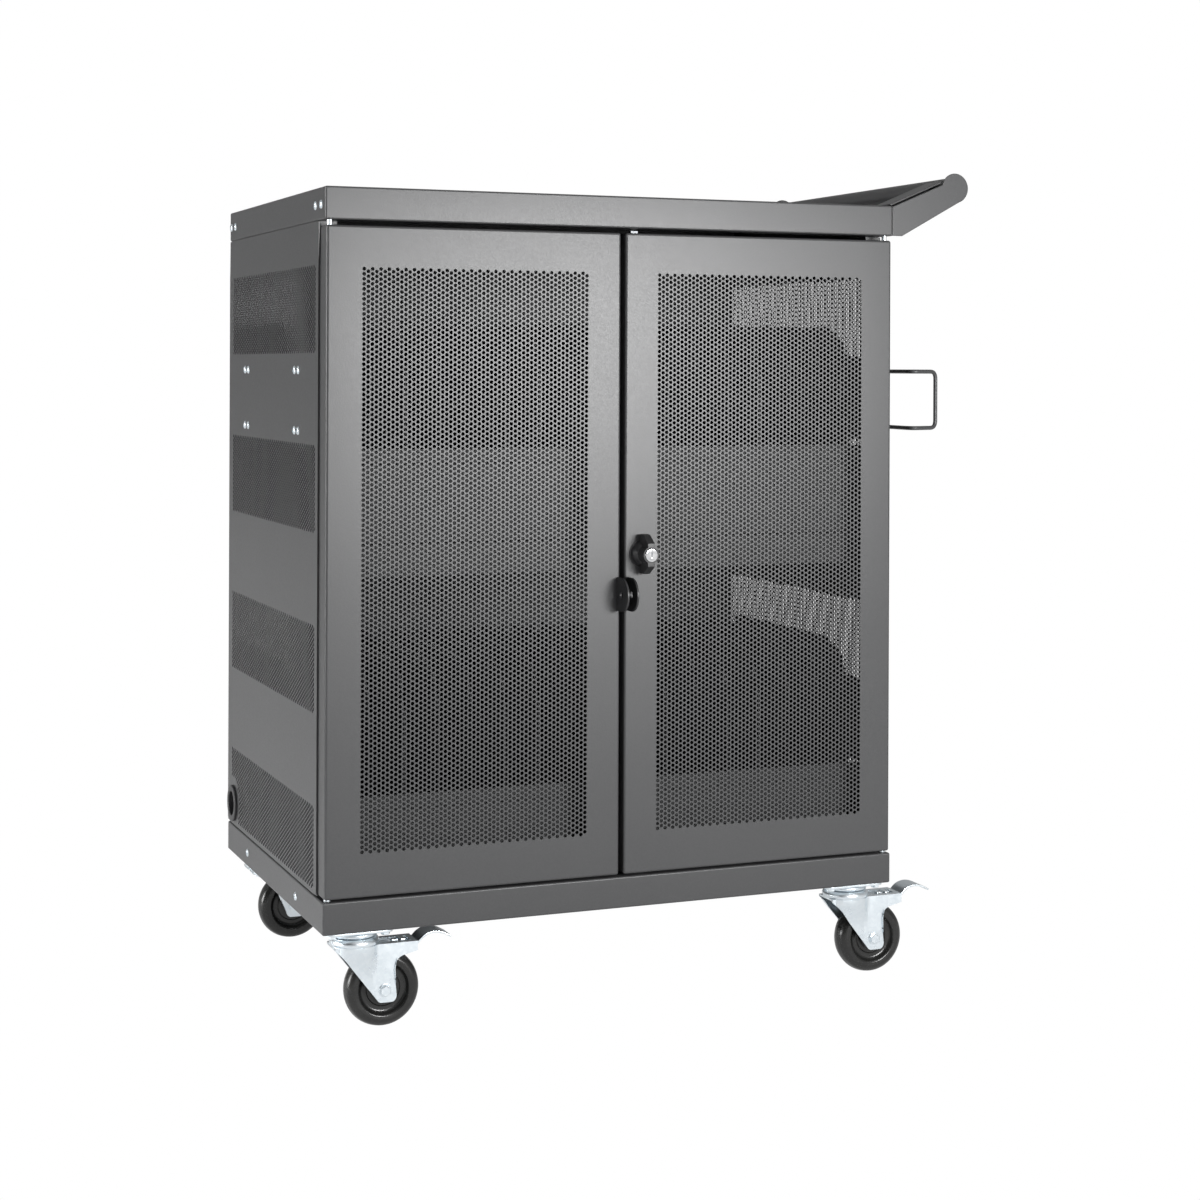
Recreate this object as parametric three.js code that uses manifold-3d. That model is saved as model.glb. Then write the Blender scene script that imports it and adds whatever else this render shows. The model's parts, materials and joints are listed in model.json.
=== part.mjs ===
// Laptop charging cart: a folded steel cabinet with punched doors, on four swivel casters.
// Millimetres. +X is to the right of someone facing the doors, +Y runs to the back, +Z is up.
// The cabinet is drawn from the middle of its front edge, on the underside of its base.
import * as THREE from 'three';
import { mergeVertices } from 'three/addons/utils/BufferGeometryUtils.js';
import Module from 'manifold-3d';

const wasm = await Module();
wasm.setup();

// Cabinet shell
const bodyWidth = 840;
const bodyDepth = 564;
const cabinetHeight = 976; // underside of the base to the top of the lid
const sheet = 1.5; // folded steel
const fitGap = 0.3; // between pieces that are screwed or welded together
const lidRim = 43.5;
const lidLip = 30; // folded in under the rim of the lid
const baseRim = 43;
const baseLedge = 95; // folded in under the base, where the casters bolt on
const panelFlange = 25; // folded in round each side panel

// Front doors
const doorDepth = 32;
const doorLip = 12; // folded in along the back edges of a door
const doorSideGap = 2;
const doorMeetingGap = 7;
const doorTopGap = 6.8;
const doorBottomGap = 2.8;
const swingGap = 2.5; // behind the doors, for their folded edges to swing through
const stile = 49.5; // plain margins round the punched field
const topRail = 53;
const bottomRail = 56;

// Punched sheet, with holes ten times as large as the real 5 mm holes and as far apart
const holeDiameter = 50;
const holePitch = 66;
const holeSides = 6;
const bandCount = 4; // punched bands up each side panel
const bandHeight = 118.5;
const bandPitch = 238;
const bandDrop = 56.5; // underside of the lid to the top band
const bandFrontMargin = 13.5;
const bandRearMargin = 26;
const bandFootMargin = 9;

// Hinge pins
const pinRadius = 3.5;
const pinSides = 8;
const pinInset = 6.5; // from the outer edge of a door
const pinSetback = 10; // from its face
const pinReach = 14; // into the door
const pinHeadRadius = 6.5;
const pinHead = 2.5;
const pinPlay = 0.4;

// Rear doors
const rearDoorDepth = 20;
const rearSideGap = 1.5;
const rearMeetingGap = 4;
const rearPinInset = 8;
const rearPinRadius = 3;
const rearPinReach = 10.5; // out of the door at the top
const rearChamfer = 5;
const ventCount = 4;
const ventWidth = 8;
const ventLength = 90;
const ventPitch = 54;
const ventMargin = 70;
const rearLockInset = 22;
const rearLockRadius = 10;
const rearLockProud = 3;
const rearCamLength = 30;
const rearCamWidth = 14;
const rearCamGap = 2.5;

// Door lock: a wing knob drives two flat bars, one up into the lid and one down into the base
const knobInset = 25.1; // from the meeting edge of the right door
const knobHubRadius = 17;
const knobHubDepth = 24;
const knobHubTaper = 3; // off the radius at the front of the hub
const knobHubSkirt = 4;
const knobProud = 34;
const wingLength = 54;
const wingWidth = 16;
const wingTipWidth = 10;
const rosetteRadius = 18.5;
const rosetteThickness = 1.5;
const keyRadius = 9;
const keyWall = 3; // of the knob round the key cylinder
const keyDepth = 20;
const keyProud = 2;
const keySlotWidth = 2;
const keySlotLength = 9;
const keySlotDepth = 5;
const spindleRadius = 5;
const spindleReach = 8; // into the knob
const camSetback = 10; // behind the face of the door
const camThickness = 3;
const camPinRadius = 2;
const camThrow = 10;
const camEnd = 6; // past the pins
const camWidth = 12;
const barWidth = 10;
const barThickness = 3;
const barEyeWidth = 14;
const barEyeHeight = 15;
const barPlay = 0.6;
const barTopProud = 3.8; // out of the door's top edge with the bars drawn in
const barBottomProud = 1.4;

// Hasp tabs, one on each door
const haspDrop = 54.7; // below the middle of the doors
const haspHeight = 46;
const haspReach = 40;
const haspRoot = 18; // inside the door
const haspThickness = 3;
const haspHole = 5;

// Shelves: two levels, each a compartment for chargers with a bay for devices above it
const levelCount = 2;
const levelPitch = 461;
const compartmentHeight = 107.5;
const shelfSetback = 5.5; // behind the front flanges of the side panels
const shelfRearGap = 24; // in front of the rear doors
const shelfLip = 19.2;
const shelfSideFlange = 18;
const shelfSideSetback = 60;
const trayRim = 44;
const fasciaSeam = 0.8;
const fasciaReturn = 12;
const slotPitch = 48.3;
const dividerThickness = 1.2;
const dividerHeight = 190;
const dividerFront = 28; // behind the lip of the shelf
const dividerRound = 70;
const roundSteps = 2;
const backInset = 55; // rear edge of a shelf to the back of its bay
const backGap = 15; // between the dividers and the back of the bay
const slotsPerNotch = 2; // slots that share a notch for their cords
const cordNotchWidth = 40;
const cordNotchHeight = 30;
const shelfNotchDepth = 15;
const stripLength = 720;
const stripDepth = 45;
const stripHeight = 40;
const stripRearGap = 20;
const outletPitch = 84;
const outletSize = 27;
const outletDepth = 8;

// Push handle on the right end of the lid
const handleReach = 105.5; // end of the lid to the middle of the tube
const handleTubeHeight = 72.5; // underside of the lid to the middle of the tube
const handleRootHeight = 15; // underside of the lid to the arm's middle line at the lid
const armHalfWidth = 20.2;
const armEndRadius = 22.3;
const armSheet = 2.5;
const armInset = 2; // from the front of the lid
const armFlangeDepth = 36;
const armSlit = 1.5; // between the arm's plate and its top flange
const tubeRadius = 16;
const tubeWall = 1.5;
const tubeSides = 16;
const arcSteps = 8;

// Cord hooks on the right side panel
const hookFrontFoot = 149;
const hookRearInset = 117; // rear hook's foot to the back of the cabinet
const hookTop = 737;
const hookBottom = 654;
const hookRadius = 2.75;
const hookSides = 6;
const hookReach = 60;
const hookRun = 117; // along the panel, from the foot to the kink
const hookNeck = 52; // out from the panel at the kink
const hookTipReach = 99.6;
const hookTipRun = 99;
const hookBend = 13;
const bendSteps = 2;
const footLength = 40;
const footHeight = 16;
const footThickness = 2.5;

// Cord grommet low on the left side panel
const grommetRear = 38; // from the back of the cabinet
const grommetHeight = 34; // above the base
const grommetRadius = 27;
const grommetNeck = 23;
const grommetBore = 18;
const grommetProud = 4;
const grommetTail = 8;
const grommetEdge = 2;
const grommetSides = 12;

// Casters
const casterInset = 53; // swivel axis to the end of the cabinet
const casterSetback = 38; // swivel axis to the front or back of the cabinet
const trail = 37; // swivel axis to the axle
const wheelRadius = 51;
const wheelWidth = 32;
const wheelSides = 16;
const wheelRim = 34;
const wheelHub = 16;
const wheelRecess = 4;
const wheelDraft = 1.5; // slope of the recess walls
const treadDrop = 7; // off the radius at the edge of the tread
const treadRound = 11;
const treadSteps = 1;
const hubProud = 1;
const axleRadius = 5;
const axleHeadRadius = 7.5;
const axleHead = 4.5;
const axleSides = 6;
const plateLength = 92;
const plateWidth = 66;
const plateThickness = 3.5;
const plateCorner = 10;
const raceRadius = 31;
const raceDepth = 8;
const crownRadius = 37;
const crownDepth = 12.5;
const crownEdge = 3;
const crownSides = 12;
const legThickness = 2.5;
const legRootInset = 6; // from the rim of the crown
const legWaistRun = 14.5;
const legWaistDrop = 18;
const legBackDrop = 26;
const legFootHalf = 12;
const legFootCorner = 4;
const legFootDrop = 16; // below the axle
const legGap = 1.2; // between the hub and a leg
const wheelGap = 8; // under the crown
const brakeReach = 45; // axle to the open end of the brake housing
const brakeDrop = 13;
const brakeStep = 8;
const brakeSag = 3;
const pedalPivotInset = 14; // inside the brake housing
const pedalPivotDrop = 7;
const pedalBossRadius = 4;
const pedalThickness = 2.5;
const pedalSideGap = 1.2;
const pedalSpan = 61; // pivot to tip
const pedalRise = 18;
// The arch of a pedal, as shares of its span and of its rise
const pedalArch = [[0, 0], [0.25, 0.3], [0.4, 0.78], [0.6, 1], [0.8, 0.9], [1, 0.55]];

const weldDistance = 1e-4;
const overshoot = 1; // cutting shapes run past the faces they open

const halfWidth = bodyWidth / 2;
const lidBottom = cabinetHeight - lidRim;
const doorBottom = baseRim + doorBottomGap;
const doorTop = lidBottom - doorTopGap;
const doorMiddle = (doorBottom + doorTop) / 2;
const doorInner = doorMeetingGap / 2;
const doorOuter = halfWidth - doorSideGap;
const panelFront = doorDepth + swingGap;
const panelBottom = baseRim + fitGap;
const panelTop = lidBottom - fitGap;
const shelfFront = panelFront + shelfSetback;
const rearDoorFront = bodyDepth - rearDoorDepth;
const shelfRear = rearDoorFront - shelfRearGap;
const rearOuter = halfWidth - panelFlange - rearSideGap;
const rearPinX = rearOuter - rearPinInset;
const rearPinY = bodyDepth - rearPinInset;
const rearLockX = rearMeetingGap / 2 + rearLockInset;
const turnRoom = 1 / Math.cos(Math.PI / grommetSides); // keeps the flats of a bore off its shaft
const haspX = doorInner + sheet + 2 * fitGap;
const shelfHalf = halfWidth - sheet - fitGap;
const bayHalf = halfWidth - lidLip - sheet;
const slotCount = Math.floor((2 * bayHalf) / slotPitch);
const grommetY = bodyDepth - grommetRear;
const grommetZ = baseRim + grommetHeight;
const knobX = doorInner + knobInset;
const barY = camSetback + camThickness + pinPlay + fitGap;
const barOffset = camThrow * Math.SQRT1_2;
const armX = halfWidth + fitGap;
const tubeX = halfWidth + handleReach;
const tubeZ = lidBottom + handleTubeHeight;
const crownTop = -(plateThickness + raceDepth + fitGap);
const crownBottom = crownTop - crownDepth;
const axleZ = crownBottom - wheelGap - wheelRadius;
const legInner = wheelWidth / 2 + hubProud + legGap;
const legOuter = legInner + legThickness;

const finishes = {
  coat: { color: 0x4a4c4f, metalness: 0.1, roughness: 0.55 },
  zinc: { color: 0xb9bdc2, metalness: 0.9, roughness: 0.35 },
  chrome: { color: 0xdfe2e6, metalness: 1, roughness: 0.12 },
  plastic: { color: 0x151516, metalness: 0, roughness: 0.5 },
  tread: { color: 0x101011, metalness: 0, roughness: 0.35 },
};

const cart = new THREE.Group();
cart.name = 'laptop_charging_cart';

function add(name, geometry, finish, parent = cart) {
  const mesh = new THREE.Mesh(geometry, new THREE.MeshStandardMaterial(finishes[finish]));
  mesh.name = name;
  parent.add(mesh);
}

// A closed solid for the boolean steps, without repeated corners or empty triangles
function solid(geometry) {
  const bare = geometry.clone();
  bare.deleteAttribute('normal');
  bare.deleteAttribute('uv');
  const merged = mergeVertices(bare, weldDistance);
  const corners = [];
  for (let i = 0; i < merged.index.count; i += 3) {
    const [a, b, c] = [0, 1, 2].map((step) => merged.index.getX(i + step));
    if (a !== b && b !== c && c !== a) {
      corners.push(a, b, c);
    }
  }
  const vertProperties = new Float32Array(merged.attributes.position.array);
  const triVerts = new Uint32Array(corners);
  return new wasm.Manifold(new wasm.Mesh({ numProp: 3, vertProperties, triVerts }));
}

function geometryOf(manifold) {
  const mesh = manifold.getMesh();
  const geometry = new THREE.BufferGeometry();
  geometry.setAttribute('position', new THREE.BufferAttribute(mesh.vertProperties, 3));
  geometry.setIndex(new THREE.BufferAttribute(mesh.triVerts, 1));
  return geometry;
}

function join(...shapes) {
  return geometryOf(shapes.map(solid).reduce((whole, next) => whole.add(next)));
}

function cut(body, ...tools) {
  return geometryOf(tools.map(solid).reduce((rest, tool) => rest.subtract(tool), solid(body)));
}

function box(x, y, z) {
  const geometry = new THREE.BoxGeometry(x[1] - x[0], y[1] - y[0], z[1] - z[0]);
  return geometry.translate((x[0] + x[1]) / 2, (y[0] + y[1]) / 2, (z[0] + z[1]) / 2);
}

// A range on the left (-1) or right (1) side of the cabinet
function span(side, near, far) {
  return side > 0 ? [near, far] : [-far, -near];
}

function around(middle, half) {
  return [middle - half, middle + half];
}

function through(range) {
  return [range[0] - overshoot, range[1] + overshoot];
}

function outline(points) {
  return new THREE.Shape(points.map(([x, y]) => new THREE.Vector2(x, y)));
}

function rectangle(x, y) {
  return outline([[x[0], y[0]], [x[1], y[0]], [x[1], y[1]], [x[0], y[1]]]);
}

// Plates: a shape seen from the front runs back in Y, one seen from the right runs along X
function frontPlate(shape, y) {
  const geometry = new THREE.ExtrudeGeometry(shape, { depth: y[1] - y[0], bevelEnabled: false });
  return geometry.rotateX(Math.PI / 2).translate(0, y[1], 0);
}

function sidePlate(shape, x) {
  const geometry = new THREE.ExtrudeGeometry(shape, { depth: x[1] - x[0], bevelEnabled: false });
  return geometry.rotateX(Math.PI / 2).rotateZ(Math.PI / 2).translate(x[0], 0, 0);
}

function floorPlate(shape, z) {
  const geometry = new THREE.ExtrudeGeometry(shape, { depth: z[1] - z[0], bevelEnabled: false });
  return geometry.translate(0, 0, z[0]);
}

// A turned shape about the Y axis from [radius, height] pairs, and the same about Z or X
function turned(profile, sides) {
  const closed = profile[0][0] > 0 ? [...profile, profile[0]] : profile;
  const points = closed.map(([radius, height]) => new THREE.Vector2(radius, height));
  return new THREE.LatheGeometry(points, sides).rotateY(Math.PI / sides);
}

function turnedUp(profile, sides) {
  return turned(profile, sides).rotateX(Math.PI / 2);
}

function turnedAcross(profile, sides) {
  return turned(profile, sides).rotateZ(-Math.PI / 2);
}

function rodProfile(radius, height) {
  return [[0, height[0]], [radius, height[0]], [radius, height[1]], [0, height[1]]];
}

// Staggered holes over a field, spread evenly between its sides, clear of an optional disc
function punch(shape, x, y, spare) {
  const columnPitch = holePitch * Math.cos(Math.PI / 6);
  const radius = holeDiameter / 2;
  const columns = Math.floor((x[1] - x[0] - holeDiameter) / columnPitch) + 1;
  const firstX = (x[0] + x[1] - (columns - 1) * columnPitch) / 2;
  for (let column = 0; column < columns; column += 1) {
    const lift = column % 2 ? holePitch / 2 : 0;
    const room = y[1] - y[0] - holeDiameter - lift;
    const rows = Math.floor(room / holePitch) + 1;
    for (let row = 0; row < rows; row += 1) {
      const holeY = y[0] + radius + lift + row * holePitch;
      const centre = new THREE.Vector2(firstX + column * columnPitch, holeY);
      if (!spare || centre.distanceTo(spare.centre) > spare.radius + radius) {
        const hole = new THREE.Path();
        hole.setFromPoints(ring(centre.x, centre.y, radius, holeSides));
        shape.holes.push(hole);
      }
    }
  }
}

function ring(x, y, radius, sides) {
  return Array.from({ length: sides }, (_, i) => {
    const angle = (2 * Math.PI * i) / sides;
    return new THREE.Vector2(x + radius * Math.cos(angle), y + radius * Math.sin(angle));
  });
}

function upright(x, y, radius, z) {
  return turnedUp(rodProfile(radius, z), pinSides).translate(x, y, 0);
}

// The lid and the base: shallow folded boxes with a lip left round their open side
function addShell() {
  const lidX = [-halfWidth, halfWidth];
  const fullY = [0, bodyDepth];
  const pinTools = [-1, 1].flatMap((side) => [
    { x: side * (doorOuter - pinInset), y: pinSetback, radius: pinRadius + pinPlay },
    { x: side * rearPinX, y: rearPinY, radius: rearPinRadius + pinPlay },
  ]);
  const barSlot = (x, z) => box(around(x, barWidth / 2 + 2 * barPlay), barRange(2 * barPlay), z);
  const inner = [sheet - halfWidth, halfWidth - sheet];
  const innerY = [sheet, bodyDepth - sheet];
  const lipZ = through([lidBottom, lidBottom + sheet]);
  add('top_lid', cut(
    box(lidX, fullY, [lidBottom, cabinetHeight]),
    box(inner, innerY, [lidBottom + sheet, cabinetHeight - sheet]),
    box([lidLip - halfWidth, halfWidth - lidLip], [lidLip, bodyDepth - lidLip], lipZ),
    ...pinTools.map((pin) => upright(pin.x, pin.y, pin.radius, lipZ)),
    barSlot(knobX - barOffset, lipZ),
  ), 'coat');
  const floorZ = through([baseRim - sheet, baseRim]);
  const ledge = [baseLedge - halfWidth, halfWidth - baseLedge];
  add('base_pan', cut(
    box(lidX, fullY, [0, baseRim]),
    box(inner, innerY, [sheet, baseRim - sheet]),
    box(ledge, [lidLip, bodyDepth - lidLip], through([0, sheet])),
    ...pinTools.map((pin) => upright(pin.x, pin.y, pin.radius, floorZ)),
    barSlot(knobX + barOffset, floorZ),
  ), 'coat');
}

function barRange(play) {
  return [barY - play, barY + barThickness + play];
}

function addSidePanel(name, side) {
  const y = [panelFront, bodyDepth];
  const z = [panelBottom, panelTop];
  const skin = rectangle(y, z);
  const spare = { centre: new THREE.Vector2(grommetY, grommetZ), radius: grommetRadius };
  for (let band = 0; band < bandCount; band += 1) {
    const top = lidBottom - bandDrop - band * bandPitch;
    const bottom = Math.max(top - bandHeight, panelBottom + bandFootMargin);
    punch(skin, [y[0] + bandFrontMargin, y[1] - bandRearMargin], [bottom, top], side < 0 && spare);
  }
  const frame = cut(
    box(span(side, halfWidth - panelFlange, halfWidth), y, z),
    box(span(side, halfWidth - panelFlange - overshoot, halfWidth + overshoot),
      [y[0] + sheet, y[1] - sheet], [z[0] + sheet, z[1] - sheet]),
  );
  const panel = join(sidePlate(skin, span(side, halfWidth - sheet, halfWidth)), frame);
  const boreX = through([-halfWidth, sheet - halfWidth]);
  const bore = turnedAcross(rodProfile(grommetNeck + fitGap, boreX), grommetSides)
    .translate(0, grommetY, grommetZ);
  add(name, side < 0 ? cut(panel, bore) : panel, 'coat');
}

function addFrontDoor(name, side, tools) {
  const x = span(side, doorInner, doorOuter);
  const z = [doorBottom, doorTop];
  const skin = rectangle(x, z);
  punch(skin, [x[0] + stile, x[1] - stile], [z[0] + bottomRail, z[1] - topRail]);
  const frame = cut(
    box(x, [0, doorDepth], z),
    box([x[0] + sheet, x[1] - sheet], [-overshoot, doorDepth - sheet], [z[0] + sheet, z[1] - sheet]),
    box([x[0] + doorLip, x[1] - doorLip], through([0, doorDepth]), [z[0] + doorLip, z[1] - doorLip]),
  );
  const pinX = side * (doorOuter - pinInset);
  add(name, cut(
    join(frontPlate(skin, [0, sheet]), frame),
    upright(pinX, pinSetback, pinRadius + pinPlay, through([doorBottom, doorBottom + sheet])),
    upright(pinX, pinSetback, pinRadius + pinPlay, through([doorTop - sheet, doorTop])),
    box(span(side, haspX - fitGap, haspX + haspThickness + fitGap), through([0, sheet]),
      around(doorMiddle - haspDrop, haspHeight / 2 + fitGap)),
    ...tools,
  ), 'coat');
}

function addHinges() {
  for (const [name, side] of [['left', -1], ['right', 1]]) {
    const x = side * (doorOuter - pinInset);
    const seat = lidBottom + sheet;
    add(`${name}_top_pin`, turnedUp([
      [0, doorTop - pinReach], [pinRadius, doorTop - pinReach], [pinRadius, seat + fitGap],
      [pinHeadRadius, seat + fitGap], [pinHeadRadius, seat + pinHead], [0, seat + pinHead],
    ], pinSides).translate(x, pinSetback, 0), 'zinc');
    add(`${name}_bottom_pin`, turnedUp([
      [0, baseRim - pinReach], [pinRadius, baseRim - pinReach], [pinRadius, baseRim + fitGap],
      [pinHeadRadius, baseRim + fitGap], [pinHeadRadius, doorBottom - fitGap],
      [pinRadius, doorBottom - fitGap], [pinRadius, doorBottom + pinReach], [0, doorBottom + pinReach],
    ], pinSides).translate(x, pinSetback, 0), 'zinc');
  }
}

function addDoors() {
  addFrontDoor('left_door', -1, []);
  const slot = (x, z) => box(around(x, barWidth / 2 + barPlay), barRange(barPlay), z);
  addFrontDoor('right_door', 1, [
    turned(rodProfile(spindleRadius + pinPlay, through([0, sheet])), pinSides)
      .translate(knobX, 0, doorMiddle),
    slot(knobX - barOffset, through([doorTop - sheet, doorTop])),
    slot(knobX + barOffset, through([doorBottom, doorBottom + sheet])),
  ]);
  for (const [name, side] of [['left', -1], ['right', 1]]) {
    const middle = doorMiddle - haspDrop;
    const tab = new THREE.Shape();
    tab.moveTo(haspRoot, middle + haspHeight / 2);
    tab.lineTo(haspHeight / 2 - haspReach, middle + haspHeight / 2);
    for (let step = 1; step < arcSteps; step += 1) {
      const angle = Math.PI / 2 + (Math.PI * step) / arcSteps;
      const y = haspHeight / 2 - haspReach + (haspHeight / 2) * Math.cos(angle);
      tab.lineTo(y, middle + (haspHeight / 2) * Math.sin(angle));
    }
    tab.lineTo(haspHeight / 2 - haspReach, middle - haspHeight / 2);
    tab.lineTo(haspRoot, middle - haspHeight / 2);
    const hole = new THREE.Path();
    hole.setFromPoints(ring(haspHeight / 2 - haspReach, middle, haspHole, pinSides));
    tab.holes.push(hole);
    add(`${name}_hasp_tab`, sidePlate(tab, span(side, haspX, haspX + haspThickness)), 'plastic');
  }
}

function addRearDoors() {
  for (const [name, side] of [['rear_left', -1], ['rear_right', 1]]) {
    const x = span(side, rearMeetingGap / 2, rearOuter);
    const y = [rearDoorFront, bodyDepth];
    const z = [doorBottom, doorTop];
    const skinY = through([y[1] - sheet, y[1]]);
    const vents = [];
    const ventMiddle = (x[0] + x[1]) / 2;
    for (let i = 0; i < ventCount; i += 1) {
      const ventX = around(ventMiddle + (i - (ventCount - 1) / 2) * ventPitch, ventWidth / 2);
      vents.push(box(ventX, skinY, [z[0] + ventMargin, z[0] + ventMargin + ventLength]));
      vents.push(box(ventX, skinY, [z[1] - ventMargin - ventLength, z[1] - ventMargin]));
    }
    const edge = side * rearOuter;
    const lost = rearChamfer * side;
    const corner = floorPlate(outline([
      [edge - lost, bodyDepth], [edge + lost, bodyDepth - 2 * rearChamfer],
      [edge + lost, bodyDepth + rearChamfer], [edge - lost, bodyDepth + rearChamfer],
    ]), through(z));
    const spindle = turned(rodProfile((rearLockRadius + fitGap) * turnRoom, skinY), grommetSides)
      .translate(rearLockX, 0, doorMiddle);
    const hollow = (inset, depth) => box([x[0] + inset, x[1] - inset], [y[0] - overshoot, y[1] - depth],
      [z[0] + sheet, z[1] - sheet]);
    const pan = cut(
      box(x, y, z),
      hollow(sheet, sheet + rearChamfer),
      hollow(sheet + rearChamfer, sheet),
      corner,
      ...vents,
      ...(side > 0 ? [spindle] : []),
    );
    const pinX = side * rearPinX;
    add(`${name}_door`, join(
      pan,
      upright(pinX, rearPinY, rearPinRadius, [z[1] - sheet, z[1] + rearPinReach]),
      upright(pinX, rearPinY, rearPinRadius, [baseRim - 2 * sheet, z[0] + sheet]),
    ), 'coat');
  }
  const camY = rearDoorFront - rearCamGap;
  add('rear_lock', join(
    turned([
      [0, camY], [rearLockRadius, camY], [rearLockRadius, bodyDepth + rearLockProud],
      [0, bodyDepth + rearLockProud],
    ], grommetSides).translate(rearLockX, 0, doorMiddle),
    box(around(rearLockX, rearCamWidth / 2), [camY - camThickness, camY + fitGap],
      [doorMiddle - rearCamLength, doorMiddle + rearLockRadius]),
  ), 'chrome');
}

function addLock() {
  const place = (geometry) => geometry.translate(knobX, 0, doorMiddle);
  add('lock_rosette', place(turned([
    [spindleRadius + pinPlay, -rosetteThickness - fitGap], [rosetteRadius, -rosetteThickness - fitGap],
    [rosetteRadius, -fitGap], [spindleRadius + pinPlay, -fitGap],
  ], grommetSides)), 'plastic');
  const back = -rosetteThickness - 2 * fitGap;
  const hub = turned([
    [0, -knobHubDepth], [knobHubRadius - knobHubTaper, -knobHubDepth],
    [knobHubRadius, back - knobHubSkirt], [knobHubRadius, back], [0, back],
  ], grommetSides);
  const half = wingLength / 2;
  const wing = frontPlate(outline([
    [-wingTipWidth / 2, -half], [wingTipWidth / 2, -half], [wingWidth / 2, 0],
    [wingTipWidth / 2, half], [-wingTipWidth / 2, half], [-wingWidth / 2, 0],
  ]), [-knobProud, -knobHubDepth / 2]);
  const boss = turned(rodProfile(keyRadius + keyWall, [-knobProud, back]), grommetSides);
  const keyBack = keyDepth - knobProud;
  const keyFront = -knobProud - keyProud;
  add('wing_knob', place(cut(
    join(hub, wing, boss),
    turned(rodProfile((keyRadius + fitGap) * turnRoom, [-knobProud - overshoot, keyBack]), grommetSides),
    turned(rodProfile(spindleRadius + fitGap, [-spindleReach - fitGap, 0]), pinSides),
  )), 'plastic');
  add('key_cylinder', place(cut(
    turned(rodProfile(keyRadius, [keyFront, keyBack - fitGap]), grommetSides),
    box(around(0, keySlotWidth / 2), [keyFront - overshoot, keyFront + keySlotDepth],
      around(0, keySlotLength / 2)),
  )), 'chrome');
  const camBack = camSetback + camThickness;
  const lever = new THREE.BoxGeometry(2 * (camThrow + camEnd), camThickness, camWidth);
  lever.rotateY(-Math.PI / 4).translate(0, camSetback + camThickness / 2, 0);
  const pinY = [camBack - fitGap, barY + barThickness];
  const pins = [-1, 1].map((end) => turned(rodProfile(camPinRadius, pinY), pinSides)
    .translate(end * barOffset, 0, end * barOffset));
  add('latch_cam', place(join(
    turned(rodProfile(spindleRadius, [-spindleReach, camBack]), pinSides), lever, ...pins,
  )), 'zinc');
  addLatchBar('upper_latch_bar', -1, doorTop + barTopProud - doorMiddle);
  addLatchBar('lower_latch_bar', 1, doorMiddle - doorBottom + barBottomProud);
}

// A flat bar hooked on one pin of the cam, running up (-1, left of the knob) or down (1, right)
function addLatchBar(name, end, reach) {
  const eyeZ = barOffset;
  const y = barRange(0);
  const along = (from, to) => span(-end, from, to);
  const slotHalf = camPinRadius + barPlay;
  const sweep = (camThrow - barOffset) / 2;
  const bar = cut(
    join(
      box(around(0, barEyeWidth / 2), y, along(-eyeZ - barEyeHeight / 2, barEyeHeight / 2 - eyeZ)),
      box(around(0, barWidth / 2), y, along(-eyeZ, reach)),
    ),
    box(around(end * sweep, sweep + slotHalf), through(y), along(-eyeZ - slotHalf, slotHalf - eyeZ)),
  );
  add(name, bar.translate(knobX + end * barOffset, 0, doorMiddle), 'zinc');
}

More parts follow.
